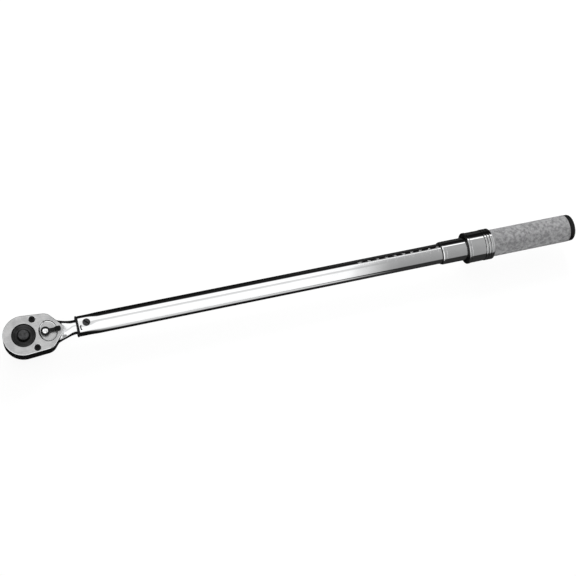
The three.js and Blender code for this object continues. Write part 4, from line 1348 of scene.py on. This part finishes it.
@dataclass
class TubeBarrel:
    """Chromed tube with its squared mouth, seal, pivot pin and engraved scale.

    Attributes:
        bore: Radius of the bore.
        mouth_half: Half width of the squared mouth.
        corner: Radius of the mouth's corners.
        fade: Stations where the mouth's shape starts and stops fading into the round.
        stake: Centre, outer radius and inner radius of the curved stake mark beside the mouth.
        scale_start: Station of the scale's first line.
        scale_step: Spacing of the scale's lines.
        scale_lines: Number of lines.
        scale_long: Every so many lines is a long one.
        scale_turn: Angle of the scale's base line from +Z towards +Y, in radians.
        numerals: Numbers beside the long lines.
    """

    bore: float = 9.2
    mouth_half: float = 9.9
    corner: float = 6.8
    fade: Point = (63.0, 77.0)
    stake: tuple[float, float, float, float] = (61.2, -4.6, 4.5, 3.2)
    scale_start: float = 362.0
    scale_step: float = 2.0
    scale_lines: int = 46
    scale_long: int = 5
    scale_turn: float = 0.24
    numerals: tuple[str, ...] = ("200", "180", "160", "140", "120", "100", "80", "60", "40", "20")

    def _ring(self, station: float, depth: float, facets: int = 128) -> list[list[float]]:
        """Gives the tube's section at a station.

        Args:
            station: Station along the tube.
            depth: How far the section lies under the outer skin.
            facets: Number of points round it.

        Returns:
            The points, squared at the mouth and round behind it.
        """
        radius = Extent.of("tube").radius
        share = min(max((station - self.fade[0]) / (self.fade[1] - self.fade[0]), 0.0), 1.0)
        ease = share * share * (3 - 2 * share)
        half, corner = self.mouth_half - depth, self.corner - depth
        core = half - corner
        points = []
        for i in range(facets):
            angle = TURN * i / facets
            x, y = abs(math.cos(angle)), abs(math.sin(angle))
            reach = half / max(x, y)
            if reach * min(x, y) > core:
                along = core * (x + y)
                reach = along + math.sqrt(along * along - 2 * core * core + corner * corner)
            reach += (radius - depth - reach) * ease
            points.append([station, reach * math.cos(angle), TUBE_AXIS + reach * math.sin(angle)])
        return points

    def _tube(self) -> Workpiece:
        """Lofts the tube, and cuts the pin's holes and the stake mark beside the mouth."""
        box = Extent.of("tube")
        wall = box.radius - self.bore
        front, rear = box.low.x, box.high.x
        edge = [(front + 0.5 * (1 - math.sin(a)), 0.5 * (1 - math.cos(a)))
                for a in np.linspace(TURN / 4, 0, 5)]
        drawn = [(station, 0.0) for station in np.linspace(*self.fade, 12)]
        long = [(station, 0.0) for station in np.linspace(self.fade[1] + 8, rear - 0.5, 40)]
        outside = edge + drawn + long + [(rear, 0.5)]
        inside = [(rear, wall)] + [(station, wall) for station, _ in reversed(drawn)] + [(front, wall)]
        tube = loft("tube_barrel", [self._ring(*place) for place in outside + inside], ring_closed=True)
        pin = Extent.of("pivot_pin")
        for side in (1, -1):
            low, high = sorted((TUBE_AXIS, TUBE_AXIS + side * 2 * self.mouth_half))
            tube.cut(upright("hole", [(low, pin.radius + GAP), (high, pin.radius + GAP)], (pin.middle.x, 0)))
        face = TUBE_AXIS + self.mouth_half
        x, y, outer, inner = self.stake
        mark = arc((x, y), outer, 2.45, 3.85, 12) + arc((x, y), inner, 3.85, 2.45, 12)
        return tube.cut(slab("stake", mark, [(face - 1.2, 0), (face + 1, 0)])).shade(40)

    def _is_stake(self, centre: Vector, normal: Vector) -> bool:
        """Tells whether a face lies in the stake mark."""
        x, y, outer, _ = self.stake
        sunk = TUBE_AXIS + self.mouth_half - 0.02
        near = math.hypot(centre.x - x, centre.y - y) < outer + 0.1
        on_floor = abs(centre.z - (sunk - 1.18)) < 0.03
        return near and (on_floor or abs(normal.z) < 0.2 and sunk - 1.25 < centre.z < sunk)

    def _numerals(self) -> Workpiece:
        """Sets the scale's numbers flat, ready to be wrapped with its lines.

        Returns:
            One mesh of raised numerals, in unrolled coordinates.
        """
        size, proud = 3.1, 0.012
        shell = bmesh.new()
        for i, text in enumerate(self.numerals):
            curve = bpy.data.curves.new("numeral", "FONT")
            curve.body, curve.size, curve.align_x, curve.extrude = text, size * MM, "CENTER", proud * MM
            letter = bpy.data.objects.new("numeral", curve)
            bpy.context.scene.collection.objects.link(letter)
            bpy.context.view_layer.update()
            mesh = bpy.data.meshes.new_from_object(
                letter.evaluated_get(bpy.context.evaluated_depsgraph_get()))
            station = self.scale_start + self.scale_step * self.scale_long * i
            mesh.transform(Matrix.Translation(Vector((station, 1.0, 0.0)) * MM))
            shell.from_mesh(mesh)
            bpy.data.objects.remove(letter)
        bmesh.ops.remove_doubles(shell, verts=shell.verts, dist=1e-8)
        mesh = bpy.data.meshes.new("scale_marks")
        shell.to_mesh(mesh)
        shell.free()
        obj = bpy.data.objects.new("scale_marks", mesh)
        bpy.context.scene.collection.objects.link(obj)
        return Workpiece(obj)

    def _seal(self) -> Workpiece:
        """Makes the seal ring that fills the mouth round the neck."""
        box = Extent.of("mouth_seal")
        grown = box.radius - self.mouth_half
        outline = rounded_box(box.radius, box.radius, self.corner + grown, 10)
        rings = []
        for height, depth in edge_levels(box.low.x, box.high.x, 0.4, 0.4, 4):
            flat = inset(outline, depth)
            rings.append([(height, y, TUBE_AXIS + z) for y, z in flat])
        seal = loft("mouth_gasket", rings)
        neck = HeadForging.neck + 1.5 * GAP
        bore = turned("bore", [(box.low.x - 1, neck), (box.high.x + 1, neck)])
        return seal.cut(bore).shade(50)

    def _pin(self) -> Workpiece:
        """Makes the slotted pivot pin, left with its slot on the skew."""
        box = Extent.of("pivot_pin")
        profile = rounded([(box.low.z, 3.0), (box.low.z, box.radius, 0.3), (box.high.z, box.radius, 0.6),
                           (box.high.z + 0.0, 0.3)])
        pin = upright("slotted_pin", profile, (box.middle.x, 0))
        x, top = box.middle.x, box.high.z
        slot = block((x - 5, -0.65, top - 1.2), (x + 5, 0.65, top + 1)).turn(-TURN / 8, "Z", (x, 0, 0))
        return pin.cut(slot).shade()

    def build(self) -> None:
        """Builds and dresses the tube's pieces."""
        self._tube().fit(Body.TUBE, CHROME, "tube").dress_faces(BLACK_OXIDE, self._is_stake)
        self._seal().fit(Body.TUBE, SEAL_RUBBER, "mouth_seal")
        pin_top = Extent.of("pivot_pin").high.z - 0.8
        pin = self._pin().fit(Body.TUBE, BLACKED_STEEL, "pivot_pin")
        pin.dress_faces(BLACK_OXIDE, lambda centre, normal: centre.z < pin_top)
        marks = self._numerals().grow(graduation_tree(), {
            "Start": self.scale_start * MM, "Spacing": self.scale_step * MM, "Short": 2.2 * MM,
            "Long": 4.0 * MM, "Line": 0.36 * MM, "Proud": 0.024 * MM, "Axis": TUBE_AXIS * MM,
            "Radius": Extent.of("tube").radius * MM, "Count": self.scale_lines,
            "Long Every": self.scale_long, "Material": MARKING.material()})
        marks.turn(-self.scale_turn, "X", (0, 0, TUBE_AXIS)).fit(Body.TUBE, MARKING)


# The handle


@dataclass
class LockCollar:
    """Pull-back lock collar: a front flange, a filleted waist and a rear flange of three ridges.

    Attributes:
        front: Station of the front face.
        flange: Radius and width of the front flange.
        waist: Radius of the waist.
        ridge: Radius and width of each rear ridge.
        ridges: Number of ridges.
        groove: Radius of the grooves between the ridges.
        cut: Width of the grooves.
        bores: Radii of the front, middle and rear bores.
        steps: Stations where the bore widens.
    """

    front: float = Extent.of("lock_collar").low.x
    flange: Point = (Extent.of("lock_collar").radius, 3.0)
    waist: float = 16.85
    ridge: Point = (17.2, 3.1)
    ridges: int = 3
    groove: float = 15.9
    cut: float = 0.9
    bores: tuple[float, float, float] = (12.9, 13.5, 15.3)
    steps: Point = (490.0, 500.0)

    def _outside(self, front: float, rear: float) -> list[tuple[float, ...]]:
        """Lists the corners of the collar's outside, from the front to the rear."""
        radius, width = self.flange
        ridge_radius, ridge_width = self.ridge
        start = rear - self.ridges * ridge_width
        corners: list[tuple[float, ...]] = [
            (front, radius, 0.35), (front + width - 0.6, radius, 0.3),
            (front + width - 0.6, self.groove, 0.2),
            (front + width, self.groove, 0.2), (front + width, self.waist, 0.35),
            (start - 0.8, self.waist, 0.3), (start - 0.8, self.groove, 0.2), (start, self.groove, 0.2)]
        for i in range(self.ridges):
            low, high = start + i * ridge_width, start + (i + 1) * ridge_width
            corners += [(low, ridge_radius, 0.35), (high - self.cut, ridge_radius, 0.35)]
            if i < self.ridges - 1:
                corners += [(high - self.cut, self.groove, 0.1), (high, self.groove, 0.1)]
        return corners[:-1] + [(rear, ridge_radius, 0.5)]

    def _is_painted_shade(self, centre: Vector, normal: Vector) -> bool:
        """Tells whether a face lies in a groove or on the inner part of the front face, both painted black as
        shade.
        """
        reach = math.hypot(centre.y, centre.z - TUBE_AXIS)
        in_shaded_groove = self.groove - 0.3 < reach < self.groove + 0.6
        return in_shaded_groove or (centre.x < self.front + 0.3 and reach < self.waist - 0.5)

    def build(self) -> None:
        """Builds and dresses the collar and its stop ring."""
        box = Extent.of("lock_collar")
        ring = Extent.of("stop_ring")
        front_bore, middle_bore, rear_bore = self.bores
        recess, recess_end = ring.radius + GAP, ring.high.x + 2 * GAP
        inside = [(box.high.x, rear_bore + 0.2), (box.high.x - 0.2, rear_bore), (self.steps[1], rear_bore),
                  (self.steps[1], middle_bore), (self.steps[0], middle_bore), (self.steps[0], front_bore),
                  (recess_end, front_bore), (recess_end, recess), (box.low.x + 0.25, recess),
                  (box.low.x, recess + 0.25)]
        outside = self._outside(box.low.x, box.high.x)
        profile = rounded(outside + inside, closed=True, steps=5)
        collar = turned("collar_sleeve", profile, sleeve=True, facets=128)
        # The grooves and the inner front face are painted black as shade.
        collar.shade(50).fit(Body.COLLAR, CHROME, "lock_collar").dress_faces(BLACK_OXIDE, self._is_painted_shade)
        bore = Extent.of("thimble").radius + GAP
        section = rounded([(ring.low.x, ring.radius, 0.2), (ring.high.x, ring.radius, 0.2),
                           (ring.high.x, bore, 0.2), (ring.low.x, bore, 0.2)], closed=True)
        turned("snap_ring", section, sleeve=True).shade().fit(Body.HANDLE, BLACK_OXIDE, "stop_ring")


@dataclass
class Handle:
    """Thimble, knurled grip sleeve and end cap.

    Attributes:
        thimble_bore: Radius of the thimble's bore.
        bevel: Length of the thimble's front bevel.
        lip: Height of the bevel.
        shadow_lip: Width of the lip in front of the bevel, painted black as a shadow line.
        thimble_marks: Number of marks on the bevel.
        band: Width of the grip's plain end bands.
        around: Number of knurl diamonds in a row.
        row: Spacing of the knurl's rows.
        relief: Depth of the knurl.
        cap_edge: Rounding of the cap's rear edge.
        spigot: Radius and start of the cap's spigot.
    """

    thimble_bore: float = 11.3
    bevel: float = 0.9
    lip: float = 0.5
    shadow_lip: float = 0.8
    thimble_marks: int = 50
    band: float = 1.1
    around: int = 72
    row: float = 0.74
    relief: float = 0.42
    cap_edge: float = 3.2
    spigot: Point = (10.9, 604.2)

    def _thimble(self) -> Workpiece:
        """Makes the thimble, with its front bevel and a fine turned ring behind it."""
        box = Extent.of("thimble")
        front, rear, radius, bore = box.low.x, box.high.x, box.radius, self.thimble_bore
        ring = front + 4.6
        start = front + self.shadow_lip
        corners = [(front, bore + 0.2), (front, radius - self.lip - 0.1, 0.15),
                   (start, radius - self.lip - 0.1),
                   (start, radius - self.lip, 0.05), (start + self.bevel, radius, 0.2), (ring, radius),
                   (ring + 0.15, radius - 0.2), (ring + 0.55, radius - 0.2), (ring + 0.7, radius),
                   (rear, radius), (rear, bore), (front, bore)]
        return turned("thimble_sleeve", rounded(corners, closed=True), sleeve=True, facets=128)

    def _grip(self) -> Workpiece:
        """Makes the grip's sleeve with plain bands, and grows the knurl between them."""
        box = Extent.of("grip")
        bore, radius = 12.9, box.radius
        front, rear = box.low.x, box.high.x
        root = radius - self.relief
        corners = [(front, bore), (front, radius - 0.5, 0.2), (front + 0.5, radius - 0.05, 0.2),
                   (front + self.band, radius - 0.05, 0.1), (front + self.band, root),
                   (rear - self.band, root), (rear - self.band, radius - 0.05, 0.1),
                   (rear - 0.5, radius - 0.05, 0.2), (rear, radius - 0.5, 0.2), (rear, bore)]
        sleeve = turned("grip_sleeve", rounded(corners, closed=True, steps=3), sleeve=True, facets=144)
        sunk = 0.03
        rows = int((rear - front - 2 * self.band) / self.row)
        return sleeve.grow(knurl_tree(), {
            "Start": (front + self.band + self.row / 2) * MM, "Row Spacing": self.row * MM,
            "Root Radius": (root - sunk) * MM, "Height": (self.relief + sunk) * MM, "Tip Share": 0.22,
            "Axis": TUBE_AXIS * MM, "Rows": rows, "Around": self.around, "Seed": 7,
            "Material": KNURLED_STEEL.material()})

    def _cap(self) -> Workpiece:
        """Makes the end cap: a spigot, a rounded rim and a shallow dished face."""
        box = Extent.of("end_cap")
        radius, start = self.spigot
        face = Extent.of("grip").high.x + GAP
        rim = box.radius
        profile = rounded([(start, radius - 0.6), (start + 0.6, radius), (face, radius), (face, rim, 0.15),
                           (box.high.x, rim, self.cap_edge), (box.high.x, 8.2, 0.4),
                           (box.high.x - 0.5, 7.7, 0.4), (box.high.x - 0.5, 0.4)], steps=8)
        return turned("cap_rear", profile, facets=128)

    def build(self) -> None:
        """Builds and dresses the handle's pieces."""
        box = Extent.of("thimble")
        edge = box.low.x + self.shadow_lip - 0.02
        thimble = self._thimble().shade(40).fit(Body.HANDLE, CHROME, "thimble")
        # The lip in front of the bevel is painted black as a shadow line.
        thimble.dress_faces(BLACK_OXIDE, lambda centre, normal: centre.x < edge)
        rise = self.lip
        slope = math.atan2(rise, self.bevel)
        blank = Workpiece.of_faces("thimble_marks", [], [])
        marks = blank.grow(ring_marks_tree(), {
            "Station": (box.low.x + self.shadow_lip + 0.62 * self.bevel) * MM, "Line": 0.16 * MM,
            "Length": 0.6 * MM,
            "Radius": (box.radius - 0.38 * rise) * MM, "Proud": 0.03 * MM, "Slope": -slope,
            "Axis": TUBE_AXIS * MM, "Count": self.thimble_marks, "Material": INKED.material()})
        marks.fit(Body.HANDLE, INKED)
        self._grip().shade(25).fit(Body.HANDLE, KNURLED_STEEL, "grip")
        self._cap().shade(40).fit(Body.HANDLE, CAP_PLASTIC, "end_cap")


# What the casings hold


@dataclass
class Spring:
    """A coil spring.

    Attributes:
        name: Name of the piece.
        node: The CAD node that it stands for.
        body: Body that carries it.
        along: Direction of its axis.
        wire: Radius of its wire.
        turns: Number of turns.
    """

    name: str
    node: str
    body: str
    along: Along
    wire: float
    turns: float

    def build(self, tree: bpy.types.GeometryNodeTree) -> None:
        """Winds the spring in its CAD node's box.

        Args:
            tree: The tree that winds a coil.
        """
        box = Extent.of(self.node)
        size = box.high - box.low
        across = size.y if self.along is not Along.Y else size.x
        start = box.middle.copy()
        start[self.along.value] = box.low[self.along.value] + self.wire
        turning = (0.0, TURN / 4, 0.0) if self.along is Along.X else (0.0, 0.0, 0.0)
        coil = Workpiece.of_faces(self.name, [], []).grow(tree, {
            "Radius": (across / 2 - self.wire) * MM, "Wire": self.wire * MM, "Turns": self.turns,
            "Length": (size[self.along.value] - 2 * self.wire) * MM, "Turning": turning,
            "Place": tuple(start * MM), "Material": SPRING_STEEL.material()})
        coil.shade(60)
        coil.obj.data.materials.clear()
        coil.obj.data.materials.append(SPRING_STEEL.material())
        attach(coil.obj, self.body)
        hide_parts(self.node)
        log.info("%s: %g turns on %s", self.name, self.turns, self.body)


@dataclass
class Mechanism:
    """Inner parts that keep their CAD shape and get a finish of their own."""

    springs: tuple[Spring, ...] = (
        Spring("torque_spring", "main_spring", "tube_assembly", Along.X, 2.2, 20.0),
        Spring("button_return_spring", "button_spring", "gear", Along.Z, 0.45, 3.0),
        Spring("collar_return_spring", "collar_spring", "handle", Along.X, 0.55, 4.0),
        Spring("lever_detent_spring", "pawl_spring", "lever", Along.X, 0.22, 3.0),
    )

    def finishes(self) -> dict[str, Finish]:
        """Gives the finish of each inner node."""
        ground = ("release_rod", "pawl_ball", "plunger", "spring_seat", "thrust_ball", "adjusting_screw",
                  "handle_plug", "lock_nut", "lock_ball_left", "lock_ball_right")
        oxide = ("nut_screw_left", "nut_screw_right", "plug_pin")
        dark = ("pawl_shaft", "pawl", "tilt_block")
        chosen = {node: GROUND_STEEL for node in ground}
        chosen.update({node: BLACK_OXIDE for node in oxide})
        chosen.update({node: DARK_STEEL for node in dark})
        chosen["adjuster_nut"] = BRASS
        return chosen

    def build(self) -> None:
        """Winds the springs and dresses the kept nodes."""
        tree = coil_tree()
        for spring in self.springs:
            spring.build(tree)
        for node, finish in self.finishes().items():
            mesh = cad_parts[node].data
            mesh.materials.clear()
            mesh.materials.append(finish.material())
            log.info("%s: %s", node, finish.name)


# Studio


@dataclass
class Studio:
    """Camera, soft light and floor.

    Attributes:
        lens: Focal length, in millimetres.
        place: The camera's place, in metres.
        aim: The point that it looks at, in metres.
        roll: How far it is rolled, in degrees.
        floor_half: Half the floor's side, in metres.
        tent_level: Brightness of the tent's white.
        side_power: Power of the soft light on the far side, in watts.
        side_place: Its place, in metres.
        side_aim: The point that it faces, in metres.
    """

    lens: float = 78.125
    place: tuple[float, float, float] = (-0.02659, -0.36873, 1.2737)
    aim: tuple[float, float, float] = (0.28031, -0.00423, 0.0286)
    roll: float = 26.72
    floor_half: float = 6.0
    tent_level: float = 1.2
    side_power: float = 7.0
    side_place: tuple[float, float, float] = (0.5, 0.62, 0.4)
    side_aim: tuple[float, float, float] = (0.5, 0.0, 0.03)

    def _camera(self) -> None:
        """Makes the scene's camera."""
        data = bpy.data.cameras.new("camera")
        data.lens, data.sensor_width = self.lens, 36.0
        data.clip_start, data.clip_end = 0.01, 50.0
        camera = bpy.data.objects.new("camera", data)
        bpy.context.scene.collection.objects.link(camera)
        back = (Vector(self.place) - Vector(self.aim)).normalized()
        right = (-back).cross(Vector((0, 0, 1))).normalized()
        frame_axes = Matrix((right, back.cross(right), back)).transposed()
        turning = frame_axes @ Matrix.Rotation(math.radians(self.roll), 3, "Z")
        camera.matrix_world = Matrix.Translation(self.place) @ turning.to_4x4()
        bpy.context.scene.camera = camera

    def _ramp(self, wiring: Wiring, angle: Any, stops: Sequence[Point]) -> bpy.types.NodeSocket:
        """Adds a brightness ramp over the angle round the tube's direction.

        Args:
            wiring: The world's wiring.
            angle: Angle from straight up towards +Y, in radians.
            stops: Pairs of angle in degrees and brightness.

        Returns:
            The brightness.
        """
        share = wiring.ranged(angle, -math.pi, math.pi)
        ramp = wiring.node("ShaderNodeValToRGB", {0: share})
        band = ramp.color_ramp
        while len(band.elements) < len(stops):
            band.elements.new(0.5)
        for element, (degrees, level) in zip(band.elements, stops):
            element.position = 0.5 + degrees / 360
            element.color = (level, level, level, 1.0)
        return ramp.outputs[0]

    def _world(self) -> None:
        """Lights the scene from a wide white tent with a dark far side and a grey panel at the rear."""
        world = bpy.data.worlds.new("studio")
        bpy.context.scene.world = world
        world.use_nodes = True
        world.node_tree.nodes.clear()
        wiring = Wiring(world.node_tree)
        x, y, z = wiring.parts(wiring.node("ShaderNodeTexCoord").outputs["Generated"])
        angle = wiring.math("ARCTAN2", y, z)
        lean = wiring.math("ARCSINE", x)
        tent = self._ramp(wiring, angle, [
            (-180, 0.0), (-99, 0.01), (-89, 0.9), (-60, 1.0), (-8, 1.0), (-3, 0.72), (14, 0.62), (19, 1.0),
            (53, 1.0), (60, 0.02), (100, 0.0), (180, 0.0)])
        panel = self._ramp(wiring, angle, [
            (-180, 0.0), (-99, 0.01), (-88, 0.26), (-40, 0.29), (10, 0.34), (38, 0.33), (41, 1.3), (47, 1.3),
            (50, 0.3), (58, 0.01), (100, 0.0), (180, 0.0)])
        enter = wiring.ranged(lean, math.radians(15.5), math.radians(18.5), smooth=True)
        leave = wiring.ranged(lean, math.radians(30), math.radians(38), 1.0, 0.0, smooth=True)
        inside = wiring.math("MULTIPLY", enter, leave)
        mix = wiring.node("ShaderNodeMix", {"Factor": inside, 6: tent, 7: panel}, data_type="RGBA")
        seen = mix.outputs[2]
        path = wiring.node("ShaderNodeLightPath")
        light = wiring.node("ShaderNodeBackground", {"Color": seen, "Strength": self.tent_level})
        backdrop = wiring.node("ShaderNodeBackground", {"Color": (0.98, 0.98, 0.98, 1.0), "Strength": 1.0})
        either = wiring.node("ShaderNodeMixShader", {
            0: path.outputs["Is Camera Ray"], 1: light.outputs[0], 2: backdrop.outputs[0]})
        wiring.node("ShaderNodeOutputWorld", {"Surface": either.outputs[0]})

    def _floor(self) -> None:
        """Lays the pale floor. It is seen pale, and polished metal mirrors it dark, but for a white card."""
        half = self.floor_half / MM
        floor = Workpiece.of_faces("floor", [(-half, -half, 0), (half, -half, 0), (half, half, 0),
                                             (-half, half, 0)], [[0, 1, 2, 3]])
        material = bpy.data.materials.new("floor_paper")
        material.use_nodes = True
        material.node_tree.nodes.clear()
        wiring = Wiring(material.node_tree)
        path = wiring.node("ShaderNodeLightPath")
        paper = wiring.node("ShaderNodeBsdfDiffuse", {"Color": (0.14, 0.14, 0.14, 1.0)})
        glow = wiring.node("ShaderNodeEmission", {"Color": (1.0, 1.0, 1.0, 1.0), "Strength": 0.86})
        pale = wiring.node("ShaderNodeAddShader", {0: paper.outputs[0], 1: glow.outputs[0]})
        x, y, _ = wiring.parts(wiring.node("ShaderNodeTexCoord").outputs["Object"])
        near_side = wiring.ranged(y, -0.055, -0.10, smooth=True)
        along = wiring.math("MULTIPLY", wiring.ranged(x, 0.07, 0.11), wiring.ranged(x, 0.37, 0.43, 1.0, 0.0))
        shadow = wiring.ranged(x, 0.30, 0.40, 0.006, 0.03)
        card = wiring.ranged(wiring.math("MULTIPLY", near_side, along), 0.0, 1.0, shadow, 0.7)
        dark = wiring.node("ShaderNodeEmission", {"Color": (1.0, 1.0, 1.0, 1.0), "Strength": card})
        camera = path.outputs["Is Camera Ray"]
        either = wiring.node("ShaderNodeMixShader", {0: camera, 1: dark.outputs[0], 2: pale.outputs[0]})
        wiring.node("ShaderNodeOutputMaterial", {"Surface": either.outputs[0]})
        floor.obj.data.materials.append(material)

    def _side_light(self) -> None:
        """Adds a soft light from the far side, which matt surfaces show and polished ones don't mirror."""
        data = bpy.data.lights.new("side_light", "AREA")
        data.shape, data.size, data.energy = "SQUARE", 0.5, self.side_power
        lamp = bpy.data.objects.new("side_light", data)
        bpy.context.scene.collection.objects.link(lamp)
        lamp.visible_glossy = False
        lamp.visible_camera = False
        place = Vector(self.side_place)
        lamp.location = place
        lamp.rotation_euler = (place - Vector(self.side_aim)).to_track_quat("Z", "Y").to_euler()

    def build(self) -> None:
        """Sets up the studio."""
        bpy.context.scene.view_settings.view_transform = "Standard"
        self._camera()
        self._world()
        self._floor()
        self._side_light()


def main() -> None:
    """Builds the wrench's looks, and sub-assembly by sub-assembly."""
    logging.basicConfig(level=logging.INFO, format="%(name)s %(message)s")
    Studio().build()
    shape = HeadShape()
    for assembly in (HeadForging(shape), FacePlate(shape), RatchetDrive(), ReversingLever(shape),
                     TubeBarrel(), LockCollar(), Handle(), Mechanism()):
        log.info("building %s", type(assembly).__name__)
        assembly.build()


if __name__ == "__main__":
    main()
